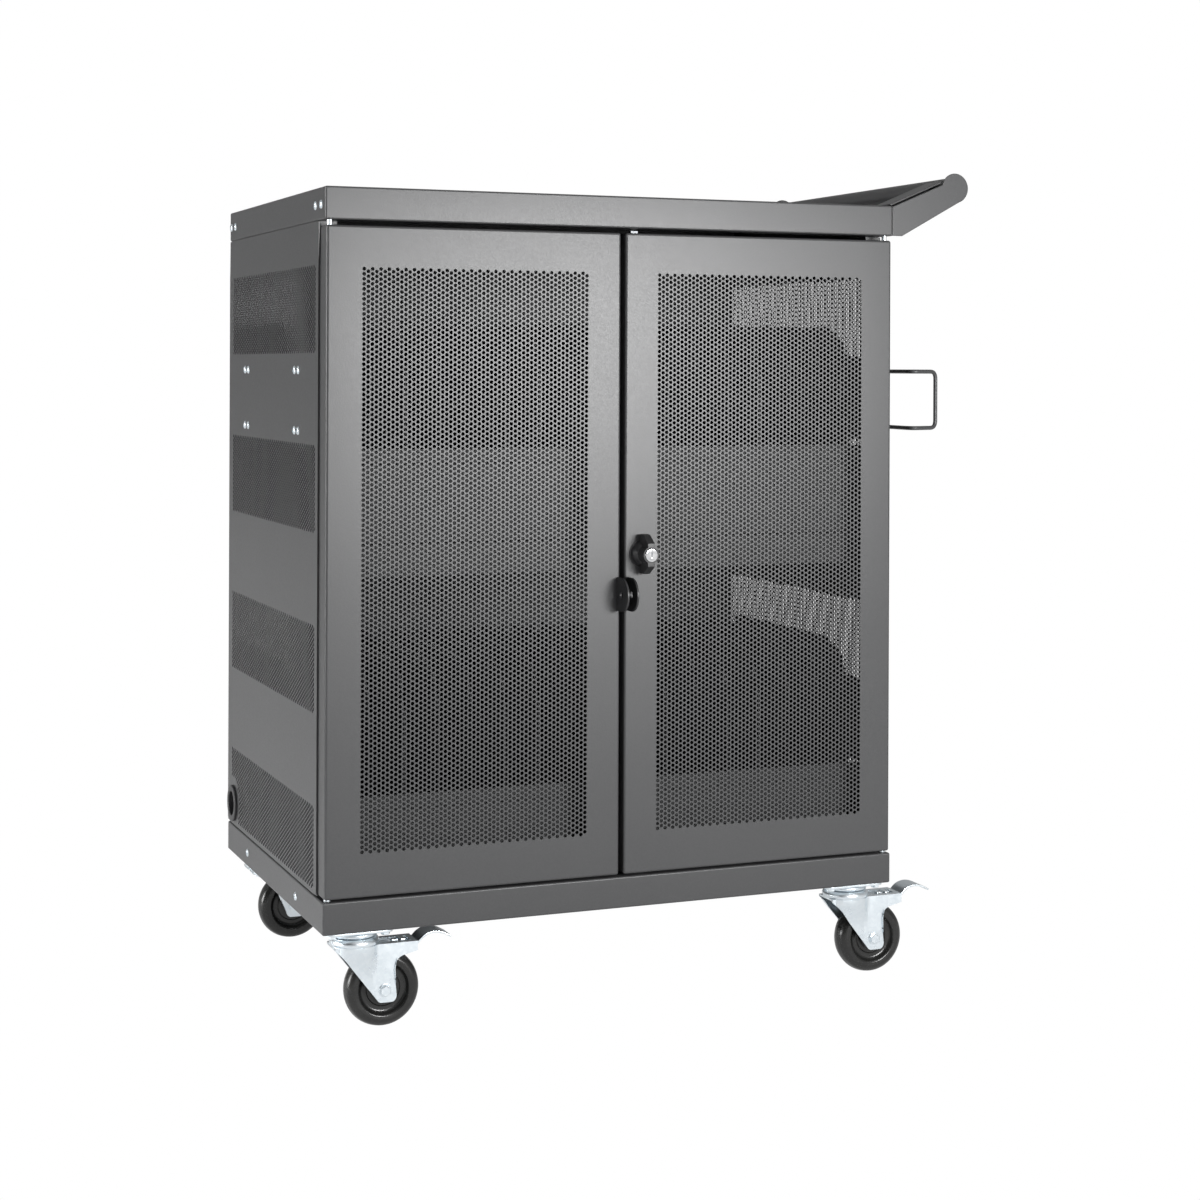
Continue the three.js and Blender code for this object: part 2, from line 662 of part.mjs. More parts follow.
function addLevel(name, level) {
  const floor = baseRim + level * levelPitch;
  const shelfZ = floor + compartmentHeight;
  const deck = shelfZ + sheet;
  const x = [-shelfHalf, shelfHalf];
  const notchCount = Math.floor(slotCount / slotsPerNotch);
  const notchX = Array.from({ length: notchCount }, (_, i) => {
    const middle = (i - (notchCount - 1) / 2) * slotPitch * slotsPerNotch;
    return around(middle, cordNotchWidth / 2);
  });
  const shelfSide = (side) => box(span(side, shelfHalf - sheet, shelfHalf),
    [shelfFront + shelfSideSetback, shelfRear], [shelfZ - shelfSideFlange, deck]);
  add(`${name}_shelf`, cut(
    join(
      box(x, [shelfFront, shelfRear], [shelfZ, deck]),
      box(x, [shelfFront, shelfFront + sheet], [shelfZ, shelfZ + shelfLip]),
      shelfSide(-1),
      shelfSide(1),
    ),
    ...notchX.map((notch) => box(notch, [shelfRear - shelfNotchDepth, shelfRear + overshoot],
      through([shelfZ, deck]))),
  ), 'coat');

  const backY = shelfRear - backInset;
  const rackFront = shelfFront + dividerFront;
  const rackRear = backY - backGap;
  const rackZ = deck + fitGap;
  const rackTop = rackZ + dividerHeight;
  const leaf = [[rackFront, rackZ], [rackRear, rackZ], [rackRear, rackTop]];
  for (let step = 0; step <= roundSteps; step += 1) {
    const angle = Math.PI / 2 + ((Math.PI / 2) * step) / roundSteps;
    leaf.push([
      rackFront + dividerRound + dividerRound * Math.cos(angle),
      rackTop - dividerRound + dividerRound * Math.sin(angle),
    ]);
  }
  const leaves = Array.from({ length: slotCount + 1 }, (_, i) => {
    const middle = (i - slotCount / 2) * slotPitch;
    return sidePlate(outline(leaf), around(middle, dividerThickness / 2));
  });
  const rackHalf = (slotCount * slotPitch) / 2;
  add(`${name}_divider_rack`, join(
    box([-rackHalf, rackHalf], [rackFront, rackRear], [rackZ, rackZ + dividerThickness]), ...leaves,
  ), 'coat');

  const ceiling = level + 1 < levelCount ? floor + levelPitch - sheet : cabinetHeight - sheet;
  add(`${name}_back_panel`, cut(
    box([-bayHalf, bayHalf], [backY, backY + sheet], [rackZ, ceiling - fitGap]),
    ...notchX.map((notch) => box(notch, through([backY, backY + sheet]),
      [rackZ - overshoot, rackZ + cordNotchHeight])),
  ), 'coat');

  const fasciaHalf = halfWidth - panelFlange - fitGap;
  const fasciaZ = [floor + fasciaSeam, shelfZ - fasciaSeam];
  add(`${name}_fascia`, cut(
    box([-fasciaHalf, fasciaHalf], [shelfFront, shelfFront + fasciaReturn], fasciaZ),
    box([sheet - fasciaHalf, fasciaHalf - sheet],
      [shelfFront + sheet, shelfFront + fasciaReturn + overshoot],
      [fasciaZ[0] + sheet, fasciaZ[1] - sheet]),
  ), 'coat');

  const stripRear = shelfRear - stripRearGap;
  const stripFront = stripRear - stripDepth;
  const outletCount = Math.floor(stripLength / outletPitch);
  const outlets = Array.from({ length: outletCount }, (_, i) => {
    const middle = (i - (outletCount - 1) / 2) * outletPitch;
    return box(around(middle, outletSize / 2), [stripFront - overshoot, stripFront + outletDepth],
      around(floor + fitGap + stripHeight / 2, outletSize / 2));
  });
  const strip = box(around(0, stripLength / 2), [stripFront, stripRear],
    [floor + fitGap, floor + fitGap + stripHeight]);
  add(`${name}_power_strip`, cut(strip, ...outlets), 'plastic');

  if (level > 0) {
    add('adapter_tray', cut(
      box(x, [shelfFront, shelfRear], [floor - trayRim, floor]),
      box([x[0] + sheet, x[1] - sheet], [shelfFront + sheet, shelfRear - sheet],
        [floor - trayRim - overshoot, floor - sheet]),
    ), 'coat');
  }
}

function addHandle() {
  const rootZ = lidBottom + handleRootHeight;
  const slope = Math.atan2(tubeZ - rootZ, handleReach);
  const rise = Math.tan(slope);
  const halfDrop = armHalfWidth / Math.cos(slope);
  const middleAt = (x) => rootZ + (x - halfWidth) * rise;
  const open = Math.PI - Math.asin(armHalfWidth / armEndRadius);
  const foot = lidBottom + fitGap;
  const footX = halfWidth + (foot + halfDrop - rootZ) / rise;
  const rootTop = middleAt(armX) + halfDrop;
  const arc = Array.from({ length: arcSteps + 1 }, (_, i) => {
    const angle = slope - open + (2 * open * i) / arcSteps;
    return [tubeX + armEndRadius * Math.cos(angle), tubeZ + armEndRadius * Math.sin(angle)];
  });
  const plate = outline([[armX, foot], [footX, foot], ...arc, [armX, rootTop]]);
  const [endX, endZ] = arc[arcSteps];
  const skinDrop = armSheet / Math.cos(slope);
  const flange = outline([
    [armX, rootTop], [armX, rootTop - skinDrop], [endX, endZ - skinDrop], [endX, endZ],
  ]);
  for (const [name, rear] of [['front', false], ['rear', true]]) {
    const range = (from, to) => {
      const near = [armInset + from, armInset + to];
      return rear ? near.map((y) => bodyDepth - y).reverse() : near;
    };
    add(`handle_${name}_arm`, join(
      frontPlate(plate, range(0, armSheet)),
      frontPlate(flange, range(armSheet + armSlit, armFlangeDepth)),
      box([armX, armX + armSheet], range(0, armFlangeDepth), [foot, rootTop - skinDrop / 2]),
    ), 'coat');
  }
  const tubeEnd = armInset + armSheet + fitGap;
  const tubeY = [tubeEnd, bodyDepth - tubeEnd];
  add('handle_tube', turned([
    [tubeRadius - tubeWall, tubeY[0]], [tubeRadius, tubeY[0]],
    [tubeRadius, tubeY[1]], [tubeRadius - tubeWall, tubeY[1]],
  ], tubeSides).translate(tubeX, 0, tubeZ), 'coat');
}

// A rod path with a ring of the section at each listed point
class BentRod extends THREE.Curve {
  constructor(points) {
    super();
    this.points = points;
  }

  getPoint(t, target = new THREE.Vector3()) {
    const place = t * (this.points.length - 1);
    const index = Math.min(Math.floor(place), this.points.length - 2);
    return target.lerpVectors(this.points[index], this.points[index + 1], place - index);
  }

  getPointAt(t, target) {
    return this.getPoint(t, target);
  }

  getTangentAt(t, target) {
    return this.getTangent(t, target);
  }
}

function bentRod(corners, radius, bend) {
  const points = [corners[0]];
  for (let i = 1; i < corners.length - 1; i += 1) {
    const before = corners[i - 1].clone().sub(corners[i]).normalize();
    const after = corners[i + 1].clone().sub(corners[i]).normalize();
    const reach = bend / Math.tan(before.angleTo(after) / 2);
    const from = corners[i].clone().addScaledVector(before, reach);
    const to = corners[i].clone().addScaledVector(after, reach);
    points.push(...new THREE.QuadraticBezierCurve3(from, corners[i], to).getPoints(bendSteps));
  }
  points.push(corners[corners.length - 1]);
  const section = new THREE.Shape(ring(0, 0, radius, hookSides));
  return new THREE.ExtrudeGeometry(section, {
    steps: points.length - 1, extrudePath: new BentRod(points), bevelEnabled: false,
  });
}

function addHook(name, footY, way) {
  const footX = [halfWidth + fitGap, halfWidth + fitGap + footThickness];
  const plan = [
    [footX[0] + fitGap, 0], [halfWidth + hookReach, 0], [halfWidth + hookNeck, hookRun],
    [halfWidth + hookTipReach, hookTipRun],
  ].map(([x, run]) => [x, footY + way * run]);
  const corners = [
    ...plan.map(([x, y]) => new THREE.Vector3(x, y, hookTop)),
    ...plan.reverse().map(([x, y]) => new THREE.Vector3(x, y, hookBottom)),
  ];
  const feet = [hookTop, hookBottom].map((z) => box(footX, around(footY, footLength / 2),
    around(z, footHeight / 2)));
  add(name, join(bentRod(corners, hookRadius, hookBend), ...feet), 'coat');
}

function addGrommet() {
  add('cord_grommet', turnedAcross([
    [grommetBore, -grommetProud], [grommetRadius - grommetEdge, -grommetProud],
    [grommetRadius, grommetEdge - grommetProud], [grommetRadius, -fitGap], [grommetNeck, -fitGap],
    [grommetNeck, grommetTail], [grommetBore, grommetTail],
  ], grommetSides).translate(-halfWidth, grommetY, grommetZ), 'plastic');
}

function addCaster(name, x, y, braked) {
  const group = new THREE.Group();
  group.position.set(x, y, 0);
  cart.add(group);

  const half = [plateLength / 2, plateWidth / 2];
  const plate = outline([
    [-half[0], plateCorner - half[1]], [plateCorner - half[0], -half[1]],
    [half[0] - plateCorner, -half[1]], [half[0], plateCorner - half[1]],
    [half[0], half[1] - plateCorner], [half[0] - plateCorner, half[1]],
    [plateCorner - half[0], half[1]], [-half[0], half[1] - plateCorner],
  ]);
  const plateBottom = -plateThickness - fitGap;
  add(`${name}_caster_plate`, join(
    floorPlate(plate, [plateBottom, -fitGap]),
    turnedUp(rodProfile(raceRadius, [crownTop + fitGap, plateBottom + fitGap]), crownSides),
  ), 'zinc', group);

  const crown = turnedUp([
    [0, crownBottom], [crownRadius - crownEdge, crownBottom], [crownRadius, crownBottom + crownEdge],
    [crownRadius, crownTop - crownEdge], [crownRadius - crownEdge, crownTop], [0, crownTop],
  ], crownSides);
  const bridgeTop = crownBottom + legThickness;
  const root = [legRootInset - crownRadius, braked ? trail + brakeReach : crownRadius - crownEdge];
  const foot = axleZ - legFootDrop;
  const footX = around(trail, legFootHalf);
  const brakeFloor = crownBottom - brakeDrop;
  const backEdge = braked
    ? [[footX[1] + brakeStep, brakeFloor - brakeSag], [root[1], brakeFloor]]
    : [[trail + legFootCorner, crownBottom - legFootCorner]];
  const leg = outline([
    [root[0], bridgeTop], [root[0], crownBottom],
    [root[0] + legWaistRun, crownBottom - legWaistDrop],
    [footX[0], foot + legFootCorner], [footX[0] + legFootCorner, foot],
    [footX[1], foot], [footX[1] + legFootCorner, foot + legFootCorner],
    [footX[1], crownBottom - legBackDrop], ...backEdge, [root[1], bridgeTop],
  ]);
  const bridge = box(root, [-legOuter, legOuter], [crownBottom, bridgeTop]);
  const bore = turned(rodProfile(axleRadius + fitGap, through([-legOuter, legOuter])), axleSides)
    .translate(trail, 0, axleZ);
  add(`${name}_fork`, cut(
    join(crown, bridge, frontPlate(leg, [-legOuter, -legInner]), frontPlate(leg, [legInner, legOuter])),
    bore,
  ), 'zinc', group);

  const headY = legOuter + fitGap;
  add(`${name}_axle`, turned([
    [0, -headY - axleHead], [axleHeadRadius, -headY - axleHead], [axleHeadRadius, -headY],
    [axleRadius, -headY], [axleRadius, headY],
    [axleHeadRadius, headY], [axleHeadRadius, headY + axleHead], [0, headY + axleHead],
  ], axleSides).translate(trail, 0, axleZ), 'zinc', group);

  const flats = 1 / Math.cos(Math.PI / wheelSides);
  const face = wheelWidth / 2;
  const tread = Array.from({ length: treadSteps + 1 }, (_, i) => {
    const angle = ((Math.PI / 2) * i) / treadSteps;
    return [wheelRadius - treadDrop * (1 - Math.sin(angle)), face - treadRound * (1 - Math.cos(angle))];
  });
  const halfProfile = [
    [axleRadius + 2 * fitGap, face + hubProud], [wheelHub - wheelDraft, face + hubProud],
    [wheelHub, face - wheelRecess], [wheelRim - wheelDraft, face - wheelRecess], [wheelRim, face], ...tread,
  ];
  const tyre = [
    ...halfProfile.map(([radius, height]) => [radius * flats, -height]),
    ...halfProfile.reverse().map(([radius, height]) => [radius * flats, height]),
  ];
  add(`${name}_wheel`, turned(tyre, wheelSides).translate(trail, 0, axleZ), 'tread', group);

  if (braked) {
    const pedalHalf = legInner - pedalSideGap;
    const top = pedalArch.map(([run, lift]) => [run * pedalSpan, lift * pedalRise]);
    const arch = outline([...top.map(([run, lift]) => [run, lift - pedalThickness]), ...top.reverse()]);
    const boss = turned(rodProfile(pedalBossRadius, around(0, legInner - fitGap)), pinSides);
    const pivotX = root[1] - pedalPivotInset;
    const pivotZ = crownBottom - pedalPivotDrop;
    add(`${name}_brake_pedal`, join(boss, frontPlate(arch, [-pedalHalf, pedalHalf]))
      .translate(pivotX, 0, pivotZ), 'zinc', group);
  }
}

addShell();
addSidePanel('left_side_panel', -1);
addSidePanel('right_side_panel', 1);
addDoors();
addHinges();
addLock();
addRearDoors();
addLevel('lower', 0);
addLevel('upper', 1);
addHandle();
addHook('front_cord_hook', hookFrontFoot, -1);
addHook('rear_cord_hook', bodyDepth - hookRearInset, 1);
addGrommet();
addCaster('front_left', casterInset - halfWidth, casterSetback, true);
addCaster('front_right', halfWidth - casterInset, casterSetback, true);
addCaster('rear_left', casterInset - halfWidth, bodyDepth - casterSetback, false);
addCaster('rear_right', halfWidth - casterInset, bodyDepth - casterSetback, false);

// The part stands on the floor, with its origin under the middle of its outline
cart.updateMatrixWorld(true);
const extent = new THREE.Box3().setFromObject(cart, true);
const middle = extent.getCenter(new THREE.Vector3());
cart.position.set(-middle.x, -middle.y, -extent.min.z);

export default cart;
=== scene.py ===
import json
import math

import bmesh
import bpy
from mathutils import Matrix, Vector


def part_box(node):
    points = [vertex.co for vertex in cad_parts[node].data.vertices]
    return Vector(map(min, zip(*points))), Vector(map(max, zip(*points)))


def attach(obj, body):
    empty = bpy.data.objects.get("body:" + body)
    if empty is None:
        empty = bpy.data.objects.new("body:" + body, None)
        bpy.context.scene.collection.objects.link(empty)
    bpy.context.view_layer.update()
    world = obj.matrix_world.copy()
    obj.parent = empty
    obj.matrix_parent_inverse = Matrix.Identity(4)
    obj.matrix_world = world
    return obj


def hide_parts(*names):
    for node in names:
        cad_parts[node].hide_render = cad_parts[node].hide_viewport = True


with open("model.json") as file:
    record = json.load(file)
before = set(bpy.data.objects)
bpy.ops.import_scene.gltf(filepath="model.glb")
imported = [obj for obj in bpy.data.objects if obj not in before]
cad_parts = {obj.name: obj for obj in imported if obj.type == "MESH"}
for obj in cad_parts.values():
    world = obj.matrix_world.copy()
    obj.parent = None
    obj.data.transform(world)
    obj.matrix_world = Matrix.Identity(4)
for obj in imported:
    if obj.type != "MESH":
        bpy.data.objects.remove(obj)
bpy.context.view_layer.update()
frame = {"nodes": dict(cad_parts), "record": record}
scene = bpy.context.scene
print("frame loaded")

# Places are in millimetres from the middle of the cabinet's front edge, under its base
mm = 0.001
tiny = 1e-3
crease = math.radians(32)
heavy = 20000
lidLow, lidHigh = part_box("top_lid")
origin = Vector(((lidLow.x + lidHigh.x) / 2, lidLow.y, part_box("base_pan")[0].z))
toFrame = Matrix.Translation(origin) @ Matrix.Scale(mm, 4)


def extent(node):
    low, high = ((corner - origin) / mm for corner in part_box(node))
    return list(zip(low, high))


def middle(pair):
    return (pair[0] + pair[1]) / 2


def axes(u, v, w, place=(0, 0, 0)):
    made = Matrix((u, v, w)).transposed().to_4x4()
    made.translation = place
    return made


xAxis, yAxis, zAxis = Vector((1, 0, 0)), Vector((0, 1, 0)), Vector((0, 0, 1))
lidX, lidY, lidZ = extent("top_lid")
sheet = 1.5


class Wire:
    # A socket of a node tree, with arithmetic and a way to add any other node
    def __init__(self, tree, socket=None):
        self.tree = tree
        self.socket = socket

    def make(self, kind, settings=None, inputs=None, output=0):
        node = self.tree.nodes.new(kind)
        for key, value in (settings or {}).items():
            setattr(node, key, value)
        for key, value in (inputs or {}).items():
            self.feed(node.inputs[key], value)
        return Wire(self.tree, node.outputs[output])

    def feed(self, socket, value):
        if isinstance(value, Wire):
            self.tree.links.new(value.socket, socket)
        else:
            socket.default_value = value

    def pick(self, output):
        return Wire(self.tree, self.socket.node.outputs[output])

    def math(self, operation, first, second):
        return self.make("ShaderNodeMath", {"operation": operation}, {0: first, 1: second})

    def __add__(self, other):
        return self.math("ADD", self, other)

    def __radd__(self, other):
        return self.math("ADD", other, self)

    def __sub__(self, other):
        return self.math("SUBTRACT", self, other)

    def __rsub__(self, other):
        return self.math("SUBTRACT", other, self)

    def __mul__(self, other):
        return self.math("MULTIPLY", self, other)

    def __rmul__(self, other):
        return self.math("MULTIPLY", other, self)

    def __truediv__(self, other):
        return self.math("DIVIDE", self, other)

    def __rtruediv__(self, other):
        return self.math("DIVIDE", other, self)


# Materials

def noise(start, scale, detail=2.0):
    place = start.make("ShaderNodeTexCoord", output="Object")
    return start.make("ShaderNodeTexNoise", None, {"Vector": place, "Scale": scale, "Detail": detail})


def mixed(start, factor, first, second):
    return start.make("ShaderNodeMix", {"data_type": "RGBA"}, {0: factor, 6: first, 7: second}, 2)


def bumped(start, height, strength, distance):
    return start.make("ShaderNodeBump", None,
                      {"Height": height, "Strength": strength, "Distance": distance})


def coat(start, pale, dark, rough):
    cloud = noise(start, 2.5, 3)
    speck = noise(start, 420)
    peel = noise(start, 850)
    return {
        "Base Color": mixed(start, cloud * 0.4 + speck * 0.6, dark, pale),
        "Roughness": rough + cloud * 0.06 + speck * 0.12,
        "Normal": bumped(start, peel * 0.5 + speck * 0.5, 0.2, 0.0005),
    }


def powderCoat(start):
    return coat(start, (0.056, 0.056, 0.057, 1), (0.034, 0.035, 0.037, 1), 0.30)


# The coat inside, with painted shade: a darker and rougher copy of the powder coat, as the light reaches it only
# through the punched sheet
def insideCoat(start):
    return coat(start, (0.036, 0.036, 0.037, 1), (0.024, 0.025, 0.026, 1), 0.56)


def zincPlate(start):
    cloud = noise(start, 30, 4)
    grain = noise(start, 1600)
    cells = start.make("ShaderNodeTexVoronoi", None,
                       {"Vector": start.make("ShaderNodeTexCoord", output="Object"), "Scale": 260.0}, "Color")
    spangle = start.make("ShaderNodeSeparateColor", None, {0: cells})
    return {
        "Base Color": mixed(start, cloud * 0.6 + spangle * 0.4, (0.70, 0.77, 0.82, 1), (0.82, 0.87, 0.90, 1)),
        "Metallic": 0.95,
        "Roughness": 0.22 + cloud * 0.12 + spangle * 0.06,
        "Normal": bumped(start, grain, 0.05, 0.0002),
    }


def chromePlate(start):
    smear = noise(start, 120, 3)
    return {
        "Base Color": mixed(start, smear, (0.80, 0.81, 0.83, 1), (0.90, 0.90, 0.91, 1)),
        "Metallic": 1.0,
        "Roughness": 0.06 + smear * 0.10,
        "Normal": bumped(start, smear, 0.02, 0.0002),
    }


def blackPlastic(start):
    grain = noise(start, 2200)
    cloud = noise(start, 60)
    return {
        "Base Color": mixed(start, cloud, (0.010, 0.010, 0.011, 1), (0.020, 0.020, 0.021, 1)),
        "Roughness": 0.34 + grain * 0.16,
        "Normal": bumped(start, grain, 0.14, 0.0002),
    }


def wheelRubber(start):
    cloud = noise(start, 45, 4)
    grain = noise(start, 1200)
    return {
        "Base Color": mixed(start, cloud, (0.006, 0.006, 0.006, 1), (0.016, 0.016, 0.015, 1)),
        "Roughness": 0.18 + cloud * 0.18,
        "Normal": bumped(start, grain, 0.06, 0.0002),
    }


def surface(name, recipe):
    made = bpy.data.materials.new(name)
    made.use_nodes = True
    start = Wire(made.node_tree)
    shader = made.node_tree.nodes["Principled BSDF"]
    for socket, value in recipe(start).items():
        start.feed(shader.inputs[socket], value)
    return made


# Dull, rough zinc with painted shade: a darker copy of the zinc plate for the latch parts inside the doors
def dullZinc(start):
    cloud = noise(start, 80, 4)
    return {
        "Base Color": mixed(start, cloud, (0.16, 0.17, 0.18, 1), (0.26, 0.27, 0.28, 1)),
        "Metallic": 0.9,
        "Roughness": 0.42 + cloud * 0.16,
    }


looks = {
    "powder_coat": surface("charcoalCoat", powderCoat),
    "zinc_plate": surface("zincPlate", zincPlate),
    "chrome_plate": surface("chromePlate", chromePlate),
    "black_plastic": surface("blackPlastic", blackPlastic),
    "wheel_rubber": surface("wheelRubber", wheelRubber),
}
# The latch parts take the zinc with painted shade
paintedShadeZincLook = surface("dullZinc", dullZinc)
paintedShadeLook = surface("insideCoat", insideCoat)
# Shelves, racks and back panels take the coat with painted shade
for row in frame["record"]["subparts"]:
    shown = frame["nodes"][row["node"]].data.materials
    shown.clear()
    within = any(word in row["node"] for word in ("shelf", "rack", "back_panel"))
    shown.append(paintedShadeLook if within else paintedShadeZincLook if "latch" in row["node"] else looks[row["material_slot"]])
print("materials made")


# Mesh helpers

def meshOf(work, name):
    bmesh.ops.recalc_face_normals(work, faces=work.faces[:])
    made = bpy.data.meshes.new(name)
    work.to_mesh(made)
    work.free()
    return made


def worked(mesh, *steps):
    holder = bpy.data.objects.new("holder", mesh)
    scene.collection.objects.link(holder)
    for kind, settings in steps:
        modifier = holder.modifiers.new(kind.lower(), kind)
        for key, value in settings.items():
            setattr(modifier, key, value)
    made = bpy.data.meshes.new_from_object(holder.evaluated_get(bpy.context.evaluated_depsgraph_get()))
    bpy.data.objects.remove(holder)
    return made


def cutAway(mesh, *tools):
    joined = bpy.data.objects.new("tools", merged(*tools))
    scene.collection.objects.link(joined)
    made = worked(mesh, ("BOOLEAN", {"operation": "DIFFERENCE", "solver": "EXACT", "object": joined}))
    bpy.data.objects.remove(joined)
    return made


def merged(*meshes):
    work = bmesh.new()
    for mesh in meshes:
        work.from_mesh(mesh)
    made = bpy.data.meshes.new("merged")
    work.to_mesh(made)
    work.free()
    return made


def finish(name, mesh, body, slot, *nodes, look=None):
    mesh.transform(toFrame)
    mesh.materials.clear()
    mesh.materials.append(look or looks[slot])
    mesh.shade_smooth()
    mesh.set_sharp_from_angle(angle=crease)
    if len(mesh.polygons) < heavy:
        mesh = worked(mesh, ("WEIGHTED_NORMAL", {"keep_sharp": True}))
    mesh.name = name
    piece = bpy.data.objects.new(name, mesh)
    scene.collection.objects.link(piece)
    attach(piece, body)
    if nodes:
        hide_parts(*nodes)
    return piece


def folds(work, sharpest=0.5):
    return [e for e in work.edges if len(e.link_faces) == 2 and e.calc_face_angle() > sharpest]


def bevel(work, edges, width, segments=3):
    bmesh.ops.bevel(work, geom=edges, offset=width, segments=segments, profile=0.5, affect="EDGES",
                    clamp_overlap=True)


def block(x, y, z, edge=0.0):
    work = bmesh.new()
    bmesh.ops.create_cube(work, size=1)
    spread = Matrix.Diagonal((x[1] - x[0], y[1] - y[0], z[1] - z[0], 1))
    work.transform(Matrix.Translation((middle(x), middle(y), middle(z))) @ spread)
    if edge:
        bevel(work, work.edges[:], edge, 2)
    return meshOf(work, "block")


# Rounds the corners of a line of points, each (x, y) or (x, y, radius)
def rounded(points, radius=0.0, closed=True, steps=5):
    made = []
    count = len(points)
    for i, point in enumerate(points):
        here = Vector(point[:2])
        if not closed and i in (0, count - 1):
            made.append(here)
            continue
        reach = point[2] if len(point) > 2 else radius
        ways = [Vector(points[(i + step) % count][:2]) - here for step in (-1, 1)]
        reach = min([reach] + [way.length * 0.49 for way in ways])
        if reach < tiny:
            made.append(here)
            continue
        first, last = (here + way.normalized() * reach for way in ways)
        for step in range(steps + 1):
            t = step / steps
            made.append(first * (1 - t) ** 2 + here * 2 * t * (1 - t) + last * t ** 2)
    return made


def circle(centre, radius, steps):
    return [Vector((centre[0] + radius * math.cos(2 * math.pi * i / steps),
                    centre[1] + radius * math.sin(2 * math.pi * i / steps))) for i in range(steps)]


# A plate of an outline with holes, between two heights of the given axes
def plate(loops, heights, place, edge=0.0):
    work = bmesh.new()
    edges = []
    for loop in loops:
        verts = [work.verts.new((p[0], p[1], heights[0])) for p in loop]
        edges += [work.edges.new((a, b)) for a, b in zip(verts, verts[1:] + verts[:1])]
    bmesh.ops.triangle_fill(work, use_beauty=True, edges=edges)
    bmesh.ops.dissolve_limit(work, angle_limit=0.01, verts=work.verts[:], edges=work.edges[:])
    made = bmesh.ops.extrude_face_region(work, geom=work.faces[:], use_keep_orig=True)["geom"]
    lifted = [v for v in made if isinstance(v, bmesh.types.BMVert)]
    bmesh.ops.translate(work, verts=lifted, vec=(0, 0, heights[1] - heights[0]))
    bmesh.ops.recalc_face_normals(work, faces=work.faces[:])
    if edge:
        bevel(work, folds(work, 0.9), edge, 2)
    work.transform(place)
    return meshOf(work, "plate")


# A turned shape from (radius, height) pairs about the third of the given axes
def lathe(profile, place, steps=48):
    work = bmesh.new()
    rings = []
    for radius, height in profile:
        if radius < tiny:
            rings.append([work.verts.new((0, 0, height))])
        else:
            rings.append([work.verts.new((p.x, p.y, height)) for p in circle((0, 0), radius, steps)])
    ends = rings[1:] + rings[:1] if profile[0][0] > tiny else rings[1:]
    for low, high in zip(rings, ends):
        for i in range(steps):
            j = (i + 1) % steps
            corners = [low[i % len(low)], low[j % len(low)], high[j % len(high)], high[i % len(high)]]
            corners = list(dict.fromkeys(corners))
            if len(corners) > 2:
                work.faces.new(corners)
    work.transform(place)
    return meshOf(work, "lathe")


# A round bar along a line of points, with its bends rounded
def rod(points, radius, bend):
    curve = bpy.data.curves.new("rod", "CURVE")
    curve.dimensions = "3D"
    curve.bevel_depth = radius
    curve.bevel_resolution = 4
    curve.use_fill_caps = True
    line = []
    for i, point in enumerate(points):
        here = Vector(point)
        if i in (0, len(points) - 1):
            line.append(here)
            continue
        ways = [Vector(points[i + step]) - here for step in (-1, 1)]
        half = ways[0].angle(ways[1]) / 2
        reach = bend / math.tan(half)
        first, last = (here + way.normalized() * reach for way in ways)
        for step in range(9):
            t = step / 8
            line.append(first * (1 - t) ** 2 + here * 2 * t * (1 - t) + last * t ** 2)
    spline = curve.splines.new("POLY")
    spline.points.add(len(line) - 1)
    for spot, place in zip(spline.points, line):
        spot.co = (*place, 1)
    holder = bpy.data.objects.new("rod", curve)
    scene.collection.objects.link(holder)
    made = bpy.data.meshes.new_from_object(holder.evaluated_get(bpy.context.evaluated_depsgraph_get()))
    bpy.data.objects.remove(holder)
    return made


# A face of folded sheet with openings, with flanges to a depth and lips turned in behind them
def foldedPan(u, v, openings, depth, lip, fold, place):
    work = bmesh.new()
    lines = [sorted({*limits, *(edge for hole in openings for edge in hole[i])})
             for i, limits in enumerate((u, v))]
    grid = {(a, b): work.verts.new((a, b, 0)) for a in lines[0] for b in lines[1]}
    for a0, a1 in zip(lines[0], lines[0][1:]):
        for b0, b1 in zip(lines[1], lines[1][1:]):
            spot = ((a0 + a1) / 2, (b0 + b1) / 2)
            if not any(h[0][0] < spot[0] < h[0][1] and h[1][0] < spot[1] < h[1][1] for h in openings):
                work.faces.new([grid[a0, b0], grid[a1, b0], grid[a1, b1], grid[a0, b1]])
    bmesh.ops.delete(work, geom=[vert for vert in work.verts if not vert.link_faces], context="VERTS")

    def atRim(vert):
        return [[abs(vert.co[i] - limit) < tiny for limit in limits] for i, limits in enumerate((u, v))]

    def onRim(edge):
        first, second = (atRim(vert) for vert in edge.verts)
        return any(first[i][j] and second[i][j] for i in (0, 1) for j in (0, 1))

    rim = [e for e in work.edges if e.is_boundary and onRim(e)]
    for rise, turnIn in ((depth, 0), (0, lip)) if lip else ((depth, 0),):
        made = bmesh.ops.extrude_edge_only(work, edges=rim)["geom"]
        fresh = [v for v in made if isinstance(v, bmesh.types.BMVert)]
        rim = [e for e in made if isinstance(e, bmesh.types.BMEdge) and all(v in fresh for v in e.verts)]
        for vert in fresh:
            sides = atRim(vert)
            vert.co.x += turnIn * (sides[0][0] - sides[0][1])
            vert.co.y += turnIn * (sides[1][0] - sides[1][1])
            vert.co.z += rise
    bevel(work, folds(work), fold)
    front = next(face for face in work.faces if all(abs(vert.co.z) < tiny for vert in face.verts))
    work.transform(place)
    bmesh.ops.recalc_face_normals(work, faces=work.faces[:])
    if front.normal.dot(place.col[2].xyz) > 0:
        bmesh.ops.reverse_faces(work, faces=work.faces[:])
    pan = bpy.data.meshes.new("pan")
    work.to_mesh(pan)
    work.free()
    return worked(pan, ("SOLIDIFY", {"thickness": sheet, "offset": -1, "use_even_offset": True}))


